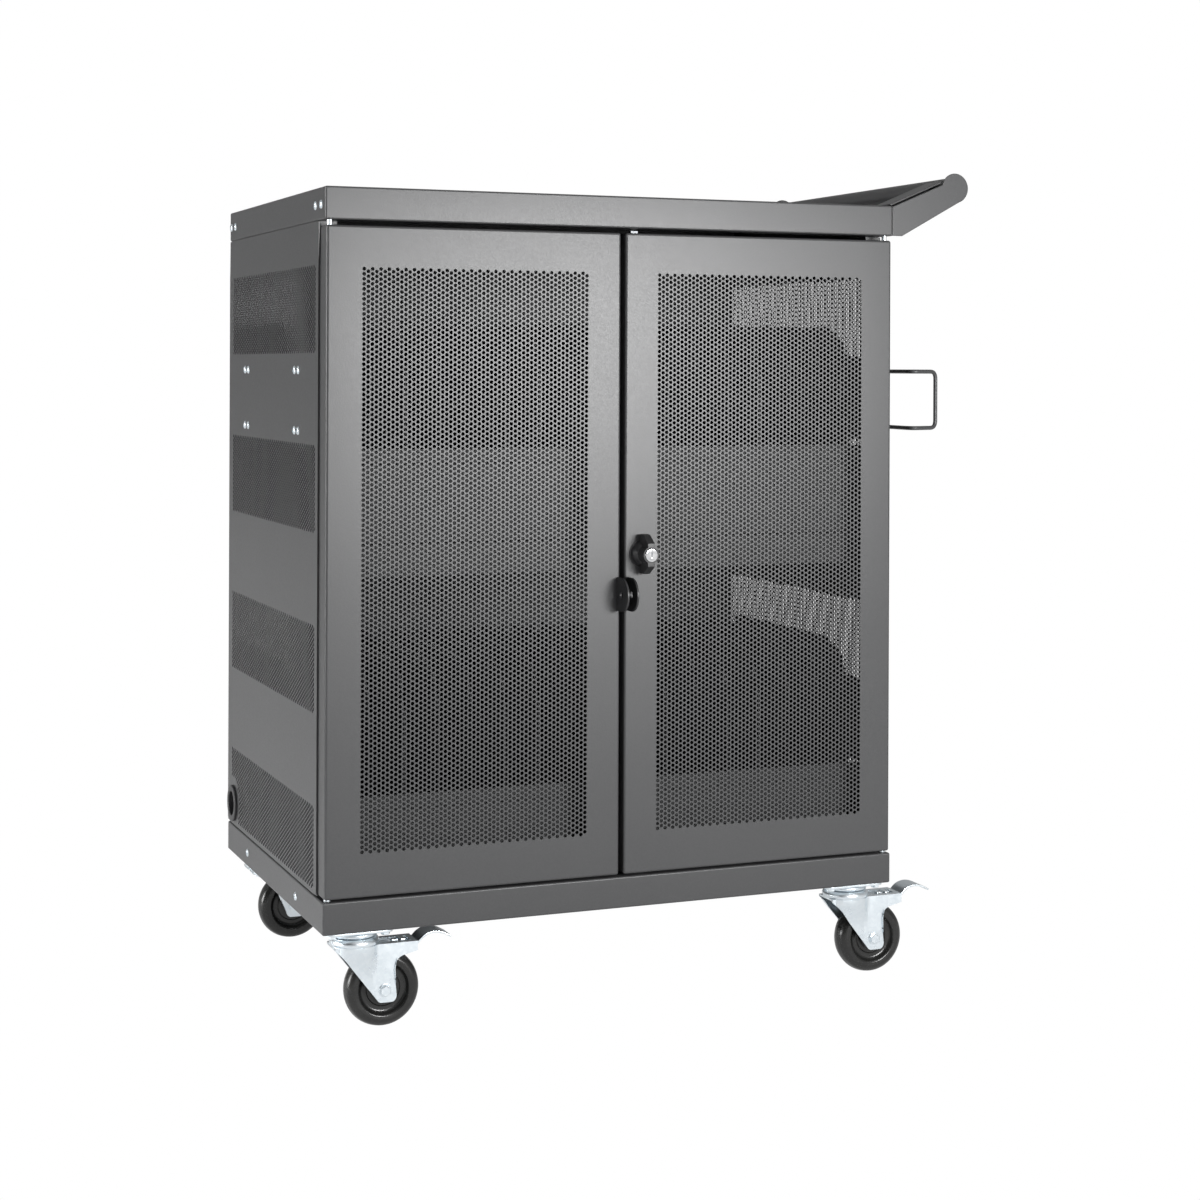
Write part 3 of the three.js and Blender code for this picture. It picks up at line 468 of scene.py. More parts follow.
# A copy of a CAD node with the edges of its box rounded
def dressed(node, width):
    work = bmesh.new()
    work.from_mesh(frame["nodes"][node].data)
    work.transform(toFrame.inverted())
    bmesh.ops.remove_doubles(work, verts=work.verts[:], dist=tiny)
    bmesh.ops.dissolve_limit(work, angle_limit=0.01, verts=work.verts[:], edges=work.edges[:])
    limits = [(i, side) for i, pair in enumerate(extent(node)) for side in pair]

    def onBox(edge):
        return sum(all(abs(v.co[i] - side) < 0.01 for v in edge.verts) for i, side in limits) > 1

    bevel(work, [e for e in work.edges if onBox(e)], width)
    return meshOf(work, node)


# Repeated shapes, by Geometry Nodes

def nodeGroup(name, sockets):
    group = bpy.data.node_groups.new(name, "GeometryNodeTree")
    group.interface.new_socket("Geometry", in_out="OUTPUT", socket_type="NodeSocketGeometry")
    for label, kind in sockets.items():
        group.interface.new_socket(label, in_out="INPUT", socket_type="NodeSocket" + kind)
    return group, Wire(group, group.nodes.new("NodeGroupInput").outputs[0])


def closeGroup(start, shapes, weld):
    joined = start.make("GeometryNodeJoinGeometry")
    for shape in shapes:
        start.feed(joined.socket.node.inputs[0], shape)
    real = start.make("GeometryNodeRealizeInstances", None, {0: joined})
    welded = start.make("GeometryNodeMergeByDistance", None, {"Geometry": real, "Distance": weld})
    coated = start.make("GeometryNodeSetMaterial", None, {"Geometry": welded, "Material": start.pick("Material")})
    start.feed(start.tree.nodes.new("NodeGroupOutput").inputs[0], coated)


def grown(group, mesh, values):
    holder = bpy.data.objects.new(group.name, mesh)
    scene.collection.objects.link(holder)
    modifier = holder.modifiers.new(group.name, "NODES")
    modifier.node_group = group
    for item in group.interface.items_tree:
        if item.in_out == "INPUT" and item.name in values:
            modifier[item.identifier] = values[item.name]
    made = bpy.data.meshes.new_from_object(holder.evaluated_get(bpy.context.evaluated_depsgraph_get()))
    holder.modifiers.remove(modifier)
    bpy.data.objects.remove(holder)
    return made


# Punched sheet: holes in columns, every second column half a pitch higher
perforation = {"hole": 5.0, "pitch": 6.58, "sides": 8}
rowPitch = perforation["pitch"]
columnPitch = rowPitch * math.cos(math.pi / 6)


def cellLoop(height):
    x, y = columnPitch / 2, rowPitch / 2
    return [(x, 0, height), (x, y, height), (-x, y, height), (-x, 0, height), (-x, -y, height), (x, -y, height)]


def punchedCell():
    sides = perforation["sides"]
    turn = 2 * math.pi / sides
    radius = perforation["hole"] / 2 * math.sqrt(turn / math.sin(turn))
    work = bmesh.new()
    rims = []
    for height in (0, -sheet):
        edge = [work.verts.new(p) for p in cellLoop(height)]
        hole = [work.verts.new((radius * math.cos(turn * (k + 0.5)), radius * math.sin(turn * (k + 0.5)), height))
                for k in range(sides)]
        right, topRight, topLeft, left, lowLeft, lowRight = edge
        for corners in ([right, topRight, hole[1], hole[0]], [topRight, topLeft, hole[2], hole[1]],
                        [topLeft, left, hole[3], hole[2]], [left, hole[4], hole[3]],
                        [left, lowLeft, hole[5], hole[4]], [lowLeft, lowRight, hole[6], hole[5]],
                        [lowRight, right, hole[7], hole[6]], [right, hole[0], hole[7]]):
            work.faces.new(corners if height == 0 else corners[::-1])
        rims.append(hole)
    for k in range(sides):
        j = (k + 1) % sides
        work.faces.new([rims[0][k], rims[0][j], rims[1][j], rims[1][k]])
    made = bpy.data.meshes.new("punchedCell")
    work.to_mesh(made)
    work.free()
    return made


def plainCell(low, high):
    x = columnPitch / 2
    levels = [low, 0, high] if low < 0 < high else [low, high]
    outline = [(x, y) for y in levels] + [(-x, y) for y in reversed(levels)]
    work = bmesh.new()
    for height in (0, -sheet):
        corners = [work.verts.new((*p, height)) for p in outline]
        work.faces.new(corners if height == 0 else corners[::-1])
    made = bpy.data.meshes.new("plainCell")
    work.to_mesh(made)
    work.free()
    return made


def punchedSheetGroup():
    group, start = nodeGroup("punchedSheet", {
        "Geometry": "Geometry", "Columns": "Int", "Rows": "Int", "Column Pitch": "Float", "Row Pitch": "Float",
        "Punched": "Object", "Plain": "Object", "Half": "Object", "Clear Place": "Vector",
        "Clear Radius": "Float", "Open Radius": "Float", "Material": "Material",
    })
    pairs = start.pick("Columns") / 2
    across = start.pick("Column Pitch")
    up = start.pick("Row Pitch")
    rows = start.pick("Rows")
    width = (pairs - 1) * across * 2

    def points(count, height, shift):
        grid = start.make("GeometryNodeMeshGrid", None, {
            "Size X": width, "Size Y": height, "Vertices X": pairs, "Vertices Y": count})
        place = start.make("ShaderNodeCombineXYZ", None, {0: across * shift})
        return start.make("GeometryNodeTransform", None, {"Geometry": grid, "Translation": place})

    def placed(spots, label, selection=None):
        shape = start.make("GeometryNodeObjectInfo", None, {"Object": start.pick(label)}, "Geometry")
        inputs = {"Points": spots, "Instance": shape}
        if selection:
            inputs["Selection"] = selection
        return start.make("GeometryNodeInstanceOnPoints", None, inputs)

    centres = start.make("GeometryNodeJoinGeometry")
    for spots in (points(rows, (rows - 1) * up, -0.5), points(rows - 1, (rows - 2) * up, 0.5)):
        start.feed(centres.socket.node.inputs[0], spots)
    ends = points(2, (rows - 0.5) * up, 0.5)
    away = start.make("ShaderNodeVectorMath", {"operation": "DISTANCE"}, {
        0: start.make("GeometryNodeInputPosition"), 1: start.pick("Clear Place")}, "Value")
    clear = start.math("GREATER_THAN", away, start.pick("Clear Radius"))
    kept = start.math("GREATER_THAN", away, start.pick("Open Radius"))
    closeGroup(start, [placed(centres, "Punched", clear), placed(centres, "Plain", kept - clear),
                       placed(ends, "Half")], 0.01)
    return group


cells = {
    "Punched": bpy.data.objects.new("punchedCell", punchedCell()),
    "Plain": bpy.data.objects.new("plainCell", plainCell(-rowPitch / 2, rowPitch / 2)),
    "Half": bpy.data.objects.new("halfCell", plainCell(-rowPitch / 4, rowPitch / 4)),
}
punchedGroup = punchedSheetGroup()
farAway = 1e5


def punchedSheet(columns, rows, place, clear=(farAway, farAway, 0), clearRadius=0.0, openRadius=0.0):
    made = grown(punchedGroup, bpy.data.meshes.new("field"), {
        "Columns": columns, "Rows": rows, "Column Pitch": columnPitch, "Row Pitch": rowPitch,
        "Clear Place": clear, "Clear Radius": clearRadius, "Open Radius": openRadius,
        "Material": looks["powder_coat"], **cells,
    })
    made.transform(place)
    return made


def fastenerGroup():
    group, start = nodeGroup("fasteners", {
        "Geometry": "Geometry", "Fastener": "Object", "Turn": "Rotation", "Material": "Material"})
    shape = start.make("GeometryNodeObjectInfo", None, {"Object": start.pick("Fastener")}, "Geometry")
    spots = start.make("GeometryNodeInstanceOnPoints", None, {
        "Points": start.pick("Geometry"), "Instance": shape, "Rotation": start.pick("Turn")})
    closeGroup(start, [spots], 0.001)
    return group


fasteners = fastenerGroup()


def fastened(shape, places, turn):
    spots = bpy.data.meshes.new("spots")
    spots.from_pydata(places, [], [])
    holder = bpy.data.objects.new("fastener", shape)
    made = grown(fasteners, spots, {"Fastener": holder, "Turn": turn, "Material": looks["zinc_plate"]})
    bpy.data.objects.remove(holder)
    return made


# A round screw head with a cross recess, standing on its own plane
def screwHead(radius, height):
    dome = lathe([(0, height), (radius * 0.55, height * 0.9), (radius * 0.9, height * 0.5), (radius, 0), (0, 0)],
                 Matrix.Identity(4), 16)
    slot, depth = radius * 0.16, height * 0.55
    reach = (-radius * 0.62, radius * 0.62)
    across = block(reach, (-slot, slot), (height - depth, height * 2))
    along = block((-slot, slot), reach, (height - depth, height * 2))
    return cutAway(cutAway(dome, across), along)


def hexHead(radius, height):
    return lathe([(0, height), (radius * 0.86, height), (radius, height * 0.8), (radius, 0), (0, 0)],
                 Matrix.Identity(4), 6)


print("helpers ready")

# Lid, base and the pieces behind the doors
shell = {"fold": 2.6, "inner": 1.2}
finish("topLid", dressed("top_lid", shell["fold"]), "cabinet", "powder_coat", "top_lid")
finish("basePan", dressed("base_pan", shell["fold"]), "cabinet", "powder_coat", "base_pan")
# The tray and the fascias take the coat with painted shade
for node, name in (("adapter_tray", "adapterTray"), ("lower_fascia", "lowerFascia"),
                   ("upper_fascia", "upperFascia")):
    finish(name, dressed(node, shell["inner"]), "cabinet", "powder_coat", node, look=paintedShadeLook)
print("shell made")

# Front doors
doors = {"columns": 56, "rows": 117, "fold": 3.4, "lip": 12, "bottomRail": 56, "topRail": 53}
pinX = middle(extent("right_top_pin")[0])
pinY = middle(extent("right_top_pin")[1])
pinHole = 3.9
knobX = middle(extent("key_cylinder")[0])
knobZ = middle(extent("key_cylinder")[2])
fieldSize = (doors["columns"] * columnPitch, doors["rows"] * rowPitch)


def around(centre, half):
    return (centre - half, centre + half)


def addDoor(label, side, node, body, extras):
    x, y, z = extent(node)
    centre = (middle(x), (z[0] + doors["bottomRail"] + z[1] - doors["topRail"]) / 2)
    opening = (around(centre[0], fieldSize[0] / 2), around(centre[1], fieldSize[1] / 2))
    pan = foldedPan(x, z, [opening], y[1] - y[0], doors["lip"], doors["fold"], axes(xAxis, zAxis, yAxis))
    tools = [lathe([(0, low), (pinHole, low), (pinHole, low + 8), (0, low + 8)],
                   Matrix.Translation((side * pinX, pinY, 0)), 24) for low in (z[0] - 4, z[1] - 4)]
    hasp = extent(label + "_hasp_tab")
    tools.append(block((hasp[0][0] - 0.2, hasp[0][1] + 0.2), (-4, 4), (hasp[2][0] - 0.2, hasp[2][1] + 0.2)))
    finish(label + "DoorFrame", cutAway(pan, *tools, *extras), body, "powder_coat", node)
    half = doors["columns"] // 2
    for name, shift in (("Left", -0.25), ("Right", 0.25)):
        place = axes(xAxis, zAxis, -yAxis, (centre[0] + shift * fieldSize[0], 0, centre[1]))
        finish(label + "Door" + name + "Screen", punchedSheet(half, doors["rows"], place), body, "powder_coat", node)


def barSlot(node, z):
    x, y, _ = extent(node)
    return block(around(middle(x), 5.6), (y[0] - 0.6, y[1] + 0.6), (z - 4, z + 4))


rightDoorZ = extent("right_door")[2]
addDoor("left", -1, "left_door", "left_front_door", [])
addDoor("right", 1, "right_door", "right_front_door", [
    lathe([(0, -4), (5.6, -4), (5.6, 4), (0, 4)], axes(zAxis, xAxis, yAxis, (knobX, 0, knobZ)), 24),
    barSlot("upper_latch_bar", rightDoorZ[1]), barSlot("lower_latch_bar", rightDoorZ[0]),
])
print("doors made")

# Side panels with four punched bands, and the cord grommet on the left one
bands = {"columns": 86, "rows": (18, 18, 18, 17), "drop": 56.5, "pitch": 238, "front": 48, "fold": 2.4, "seam": 1.8}
grommet = extent("cord_grommet")
grommetAt = (middle(grommet[1]), middle(grommet[2]))
bandWidth = bands["columns"] * columnPitch
bandMiddle = bands["front"] + bandWidth / 2


def addSidePanel(label, side):
    node = label + "_side_panel"
    x, y, z = extent(node)
    face = x[0] if side < 0 else x[1]
    fields = []
    for i, rows in enumerate(bands["rows"]):
        top = lidZ[0] - bands["drop"] - i * bands["pitch"]
        fields.append((rows, (top - rows * rowPitch, top)))
    openings = [(around(bandMiddle, bandWidth / 2), height) for _, height in fields]
    inward = -xAxis * side
    height = (z[0] + bands["seam"], z[1])
    pan = foldedPan(y, height, openings, x[1] - x[0], 0, bands["fold"], axes(yAxis, zAxis, inward, (face, 0, 0)))
    if side < 0:
        bore = lathe([(0, -4), (23.4, -4), (23.4, 8), (0, 8)],
                     axes(yAxis, zAxis, xAxis, (face, *grommetAt)), 32)
        pan = cutAway(pan, bore)
    finish(label + "SidePanel", pan, "cabinet", "powder_coat", node)
    along = yAxis * side
    for i, (rows, height) in enumerate(fields):
        place = axes(along, zAxis, xAxis * side, (face, bandMiddle, middle(height)))
        spot = ((grommetAt[0] - bandMiddle) * side, grommetAt[1] - middle(height), 0)
        clear = (spot, 40.0, 22.0) if side < 0 else ()
        finish(label + "SideScreen" + str(i + 1), punchedSheet(bands["columns"], rows, place, *clear),
               "cabinet", "powder_coat", node)


addSidePanel("left", -1)
addSidePanel("right", 1)
proud, outer, tail = 4, 27, 8
finish("cordGrommet", lathe(rounded([
    (18, -proud, 1.5), (outer, -proud, 2.5), (outer, -0.3, 0.4), (23, -0.3), (23, tail), (18, tail, 1),
]), axes(yAxis, zAxis, xAxis, (lidX[0], *grommetAt)), 64), "cabinet", "black_plastic", "cord_grommet")
print("sides made")

# Push handle
handle = {"rise": 15, "below": 21.2, "above": 14, "end": 21.6, "sheet": 2.5, "inset": 2, "tab": 36, "depth": 52,
          "slit": 3, "lift": 4, "gap": 1.5, "wall": 1.5}
tubeX, tubeY, tubeZ = extent("handle_tube")
tubeAt = (middle(tubeX), middle(tubeZ))
tubeRadius = (tubeX[1] - tubeX[0]) / 2 + 0.3
finish("handleTube", lathe(rounded([
    (tubeRadius - handle["wall"], tubeY[0]), (tubeRadius, tubeY[0]), (tubeRadius, tubeY[1]),
    (tubeRadius - handle["wall"], tubeY[1]),
], 0.4), axes(zAxis, xAxis, yAxis, (tubeAt[0], 0, tubeAt[1])), 64), "cabinet", "powder_coat", "handle_tube")


# A cheek with a round end, and behind it a channel: a top flange over a slit, and a web
def addArm(label, rear):
    armX = lidX[1] + 0.3
    rootZ = lidZ[0] + handle["rise"]
    slope = math.atan2(tubeAt[1] - rootZ, tubeAt[0] - lidX[1])
    along, across = Vector((math.cos(slope), math.sin(slope))), Vector((-math.sin(slope), math.cos(slope)))
    foot = lidZ[0] + 0.3
    footX = lidX[1] + (foot + handle["below"] / math.cos(slope) - rootZ) / math.tan(slope)
    first, last = (math.pi - math.asin(handle[edge] / handle["end"]) for edge in ("below", "above"))
    steps = 36
    arc = [Vector(tubeAt) + Vector((math.cos(a), math.sin(a))) * handle["end"]
           for a in (slope - first + (first + last) * i / steps for i in range(steps + 1))]
    thick = handle["sheet"]
    ranges = [(handle["inset"] + a, handle["inset"] + b) for a, b in (
        (0, thick), (thick + handle["slit"], handle["depth"]), (handle["depth"] - thick, handle["depth"]),
        (handle["gap"], handle["tab"]))]
    if rear:
        ranges = [(lidY[1] - b, lidY[1] - a) for a, b in ranges]
    flat = axes(xAxis, zAxis, yAxis)
    rootX, rootTop = armX + handle["gap"], lidZ[1] - 1
    cheek = plate([[(rootX, foot), (footX, foot), *arc, (rootX, rootTop)]], ranges[0], flat, 1.1)
    tip = Vector(tubeAt) + across * (handle["above"] + handle["lift"]) - along * (handle["end"] / 2)
    top = [Vector((armX, rootTop + handle["lift"])), tip]
    skin = [corner - across * thick for corner in reversed(top)]
    flange = plate([[*top, *skin]], ranges[1], flat, 0.7)
    web = plate([[top[0], (armX, foot + handle["lift"]), tip - across * handle["end"], tip]], ranges[2], flat, 0.7)
    tab = block((armX, armX + thick), ranges[3], (foot, rootTop), 0.6)
    finish(label + "HandleArm", merged(cheek, flange, web, tab), "cabinet", "powder_coat", "handle_" + label + "_arm")


addArm("front", False)
addArm("rear", True)

# Cord hooks
hook = {"radius": 3.0, "bend": 11, "reach": 60, "run": 117, "neck": 52, "tipReach": 101.6, "tipRun": 99,
        "foot": (40, 16, 2.5)}


def addHook(label, way):
    node = label + "_cord_hook"
    y, z = extent(node)[1:]
    half = [size / 2 for size in hook["foot"][:2]]
    footY = y[1] - half[0] if way < 0 else y[0] + half[0]
    levels = (z[1] - half[1], z[0] + half[1])
    face = lidX[1] + 0.3
    plan = [(face, 0), (lidX[1] + hook["reach"], 0), (lidX[1] + hook["neck"], hook["run"]),
            (lidX[1] + hook["tipReach"], hook["tipRun"])]
    line = [(x, footY + way * run, levels[0]) for x, run in plan]
    line += [(x, footY + way * run, levels[1]) for x, run in reversed(plan)]
    feet = [plate([rounded([(footY + a * half[0], level + b * half[1]) for a, b in
                            ((-1, -1), (1, -1), (1, 1), (-1, 1))], 4)], (0, hook["foot"][2]),
                  axes(yAxis, zAxis, xAxis, (face, 0, 0)), 0.5) for level in levels]
    finish(label + "CordHook", merged(rod(line, hook["radius"], hook["bend"]), *feet), "cabinet", "powder_coat", node)
    return [(face + hook["foot"][2], footY + step, level) for level in levels for step in (-12, 12)]


hookScrews = addHook("front", -1) + addHook("rear", 1)
print("handle and hooks made")

# Screws on the ends and the base
screws = {"radius": 6.0, "height": 2.4, "pairs": (149, 447), "levels": (736, 653.7), "spread": 10,
          "lid": (21, 50, 527, 553), "lidHeight": 953, "base": (142, 430), "baseHeight": 21}
head = screwHead(screws["radius"], screws["height"])
leftPlaces = [(lidX[0], y + step, z) for y in screws["pairs"] for z in screws["levels"]
              for step in (-screws["spread"], screws["spread"])]
leftPlaces += [(lidX[0], y, screws["lidHeight"]) for y in screws["lid"]]
leftPlaces += [(lidX[0], y, screws["baseHeight"]) for y in screws["base"]]
armFace = lidX[1] + 0.3 + handle["sheet"]
rightPlaces = hookScrews + [(lidX[1], y, screws["baseHeight"]) for y in screws["base"]]
rightPlaces += [(armFace, y, z) for y in (26, lidY[1] - 26) for z in (941, 957)]
finish("leftScrews", fastened(head, leftPlaces, (0, -math.pi / 2, 0)), "cabinet", "zinc_plate")
finish("rightScrews", fastened(head, rightPlaces, (0, math.pi / 2, 0)), "cabinet", "zinc_plate")
for node, name in (("left_top_pin", "leftTopPin"), ("right_top_pin", "rightTopPin"),
                   ("left_bottom_pin", "leftBottomPin"), ("right_bottom_pin", "rightBottomPin")):
    x, y, z = extent(node)
    collar = (lidZ[0] + sheet + 0.3, z[1]) if "Top" in name else (extent("base_pan")[2][1] + 0.3, rightDoorZ[0] - 0.3)
    spin = [(0, z[0]), (3.5, z[0], 1), (3.5, collar[0]), (4.8, collar[0]), (4.8, collar[1], 0.5)]
    spin += [(0, z[1])] if "Top" in name else [(3.5, collar[1]), (3.5, z[1], 1), (0, z[1])]
    finish(name, lathe(rounded(spin, 0.0, False), Matrix.Translation((middle(x), middle(y), 0)), 32),
           "cabinet", "zinc_plate", node)
print("screws made")

# Wing knob, key cylinder and hasp tabs
lock = {"hub": 17, "back": -2.1, "proud": -34, "half": 27, "noseHalf": 16, "wide": 5.4, "boss": 11.5, "key": 9}
lockPlace = axes(zAxis, xAxis, yAxis, (knobX, 0, knobZ))
hub = lathe(rounded([(5.4, lock["back"]), (lock["hub"], lock["back"], 0.6), (lock["hub"], lock["back"] - 5, 2),
                     (lock["hub"] - 3, -13, 3), (lock["boss"], -15, 2), (lock["boss"], lock["proud"], 0.8),
                     (lock["key"] + 0.4, lock["proud"], 0.5), (lock["key"] + 0.4, -13.5), (5.4, -13.5)]), lockPlace, 64)
blade = plate([[Vector(p) for p in (
    (-5, -lock["half"]), (-17, -lock["half"]), (lock["proud"], -lock["noseHalf"]), (lock["proud"], lock["noseHalf"]),
    (-17, lock["half"]), (-5, lock["half"]))]], (-lock["wide"], lock["wide"]),
    axes(yAxis, zAxis, xAxis, (knobX, 0, knobZ)), 0.9)
bore = lathe([(0, lock["proud"] - 4), (lock["boss"] - 1, lock["proud"] - 4), (lock["boss"] - 1, 2), (0, 2)], lockPlace, 48)
wing = cutAway(blade, bore)
finish("wingKnob", merged(hub, wing), "knob", "black_plastic", "wing_knob")
keyFront = extent("key_cylinder")[1][0]
keyBody = lathe(rounded([(0, keyFront), (lock["key"], keyFront, 1.2), (lock["key"], -14.3), (0, -14.3)], 0, False),
                lockPlace, 48)
keyWay = block(around(knobX, 0.9), (keyFront - 2, keyFront + 5), around(knobZ, 4.2))
finish("keyCylinder", cutAway(keyBody, keyWay), "key", "chrome_plate", "key_cylinder")
finish("lockRosette", lathe(rounded([(5.4, -0.3), (18.5, -0.3), (18.5, -1.8, 0.8), (5.4, -1.8)]), lockPlace, 64),
       "right_front_door", "black_plastic", "lock_rosette")

for label, body in (("left", "left_front_door"), ("right", "right_front_door")):
    x, y, z = extent(label + "_hasp_tab")
    half = (z[1] - z[0]) / 2
    nose = y[0] + half
    curve = [(nose + half * math.cos(a), middle(z) + half * math.sin(a))
             for a in (math.pi / 2 + math.pi * i / 24 for i in range(25))]
    tab = [(y[1], z[0]), (y[1], z[1]), *curve]
    finish(label + "HaspTab", plate([tab, circle((nose, middle(z)), 5, 24)], x, axes(yAxis, zAxis, xAxis), 0.7),
           body, "black_plastic", label + "_hasp_tab")
x, y, z = extent("rear_lock")
rearPlace = axes(zAxis, xAxis, yAxis, (middle(x), 0, knobZ))
barrel = lathe(rounded([(0, y[1]), (10, y[1], 1), (10, y[0] + 3), (0, y[0] + 3)], 0, False), rearPlace, 48)
tongue = plate([rounded([(middle(x) - 7, z[0], 4), (middle(x) + 7, z[0], 4), (middle(x) + 7, z[1]),
                         (middle(x) - 7, z[1])])], (y[0], y[0] + 3.2), axes(xAxis, zAxis, yAxis), 0.4)
keyCut = block(around(middle(x), 0.9), (y[1] - 5, y[1] + 2), around(knobZ, 4.2))
finish("rearLock", merged(cutAway(barrel, keyCut), tongue), "back_lock", "chrome_plate", "rear_lock")
print("locks made")

# Casters
caster = {"plate": (92, 66, 3.5), "race": 31, "crown": 33, "trail": 37, "leg": 2.5, "wheel": 51, "width": 32,
          "brake": 82, "axle": -83.3, "nuts": (36, 24), "cheek": 20.7, "flare": 33, "slot": ((34, 72), 11)}
plateTop, plateLow = -0.3, -3.8
crownTop, crownLow = -11.8, -24.3


def casterPlate():
    half = [caster["plate"][0] / 2, caster["plate"][1] / 2]
    deck = plate([rounded([(-half[0], -half[1]), (half[0], -half[1]), (half[0], half[1]), (-half[0], half[1])], 12)],
                 (plateLow, plateTop), Matrix.Identity(4), 0.8)
    race = lathe(rounded([(0, -3.6), (caster["race"] - 5, -3.6), (caster["race"], -5.5, 2), (caster["race"], -9, 2),
                          (caster["race"] - 4, -11.5, 1), (0, -11.5)], 1, False), Matrix.Identity(4), 64)
    nut = hexHead(6.2, 4.2)
    spots = [(a * caster["nuts"][0], b * caster["nuts"][1], plateLow) for a in (-1, 1) for b in (-1, 1)]
    return merged(deck, race, fastened(nut, spots, (math.pi, 0, 0)))


# A pressed fork: two cheeks that flare out to the crown, joined by a top that is slotted over the brake
def casterFork(braked):
    crown = lathe(rounded([(0, crownLow), (caster["crown"] - 2, crownLow, 2), (caster["crown"], crownLow + 4, 3),
                           (caster["crown"], crownTop - 4, 3), (caster["crown"] - 3, crownTop, 2), (0, crownTop)],
                          1, False), Matrix.Identity(4), 64)
    top = crownLow + caster["leg"]
    end = caster["brake"] if braked else caster["crown"] - 3
    foot = caster["axle"] - 16
    trail = caster["trail"]
    rear = [(trail + 12, crownLow - 28, 6), (trail + 19, crownLow - 16, 10), (end, crownLow - 10)]
    if not braked:
        rear = [(trail + 11, crownLow - 26, 10), (end, crownLow - 2)]
    front = [(-31, crownLow - 1), (-20, crownLow - 12, 9)]
    if not braked:
        front = [(-31, crownLow - 1), (-24, crownLow - 8, 6), (16, crownLow - 14, 9)]
    line = rounded([*front, (trail - 12.5, foot + 6, 6), (trail - 8, foot, 5),
                    (trail + 12, foot, 5), (trail + 16, foot + 6, 5), *rear], 0, False)
    line = [a.lerp(b, k / 3) for a, b in zip(line, line[1:]) for k in range(3)] + [line[-1]]
    runs = [(b - a).length for a, b in zip(line, line[1:])]
    shares = [sum(runs[:i]) / sum(runs) for i in range(len(line))]

    def flare(x, z):
        fade = min(max((z + 62) / 38, 0), 1)
        bulge = math.sqrt(max(caster["flare"] ** 2 - x * x, 0)) - caster["cheek"]
        return caster["cheek"] + max(bulge, 0) * fade * fade * (3 - 2 * fade)

    work = bmesh.new()
    rails = []
    for side in (-1, 1):
        columns = []
        for share, low in zip(shares, line):
            high = Vector((-31 + share * (end + 31), top))
            spots = [high.lerp(low, row / 10) for row in range(11)]
            columns.append([work.verts.new((p.x, side * flare(p.x, p.y), p.y)) for p in spots])
        for first, second in zip(columns, columns[1:]):
            for row in range(10):
                work.faces.new([first[row], second[row], second[row + 1], first[row + 1]])
        inner = [work.verts.new((column[0].co.x, side * caster["slot"][1], top)) for column in columns]
        rails += [[column[0] for column in columns], inner]
    rails = [rails[0], rails[1], rails[3], rails[2]]
    for strip, (near, far) in enumerate(zip(rails, rails[1:])):
        for i in range(len(line) - 1):
            slotted = braked and strip == 1 and caster["slot"][0][0] < near[i].co.x < caster["slot"][0][1]
            if not slotted:
                work.faces.new([near[i], near[i + 1], far[i + 1], far[i]])
    bmesh.ops.recalc_face_normals(work, faces=work.faces[:])
    bevel(work, folds(work, 0.9), 3)
    pressed = worked(meshOf(work, "pressed"), ("SOLIDIFY", {"thickness": caster["leg"], "offset": -1}))
    if not braked:
        return merged(pressed, crown)
    spring = block((50, 59), (-6, 3), (crownLow - 5, crownLow + 3.2), 0.8)
    catch = block((62, 69), (-8, 8), (crownLow - 2, crownLow + 3.6), 0.8)
    return merged(pressed, crown, spring, catch)


def casterAxle():
    place = axes(zAxis, xAxis, yAxis, (caster["trail"], 0, caster["axle"]))
    shaft = lathe([(0, -22), (4.9, -22), (4.9, 22), (0, 22)], place, 32)
    ends = []
    for way in (-1, 1):
        hexPlace = axes(zAxis, xAxis * way, yAxis * way, (caster["trail"], way * 22.2, caster["axle"]))
        washPlace = axes(zAxis, xAxis * way, yAxis * way, (caster["trail"], way * 21.0, caster["axle"]))
        head = hexHead(7.5, 3.3)
        head.transform(hexPlace)
        ends += [head, lathe(rounded([(4.9, 0), (8.6, 0), (8.6, 1.2, 0.4), (4.9, 1.2)]), washPlace, 32)]
    return merged(shaft, *ends)


def casterWheel():
    radius, face = caster["wheel"], caster["width"] / 2
    half = [(5.7, face + 0.9), (13, face + 0.9, 0.8), (15, face - 5, 1.5), (22, face - 5, 1), (24, face - 7.5, 2),
            (31, face - 7, 3), (35, face - 1, 1.6), (42, face, 3), (radius - 2.2, face - 4.5, 6), (radius, face - 14, 6)]
    profile = half + [(p[0], -p[1], *p[2:]) for p in reversed(half)]
    return lathe(rounded(profile), axes(zAxis, xAxis, yAxis, (caster["trail"], 0, caster["axle"])), 96)


def brakePedal():
    pivot = (caster["brake"] - 14, crownLow - 7)
    line = rounded([(0, -1), (14, 2.5, 8), (25, 14, 9), (37, 17.5, 9), (49, 15.5, 9), (61, 9)], 0, False, 6)
    work = bmesh.new()
    rows = [[work.verts.new((p.x, y, p.y)) for p in line] for y in (-16.8, 16.8)]
    for i in range(len(line) - 1):
        work.faces.new([rows[0][i], rows[0][i + 1], rows[1][i + 1], rows[1][i]])
    arch = worked(meshOf(work, "arch"), ("SOLIDIFY", {"thickness": 2.4, "offset": 1, "use_even_offset": True}),
                  ("BEVEL", {"width": 0.6, "segments": 2, "limit_method": "ANGLE", "angle_limit": 0.9}))
    boss = lathe([(0, -17.9), (4, -17.9), (4, 17.9), (0, 17.9)], axes(zAxis, xAxis, yAxis), 24)
    made = merged(arch, boss)
    made.transform(Matrix.Translation((pivot[0], 0, pivot[1])))
    return made


shapes = {"plate": casterPlate(), "fork": casterFork(False), "brakedFork": casterFork(True), "axle": casterAxle(),
          "wheel": casterWheel(), "pedal": brakePedal()}


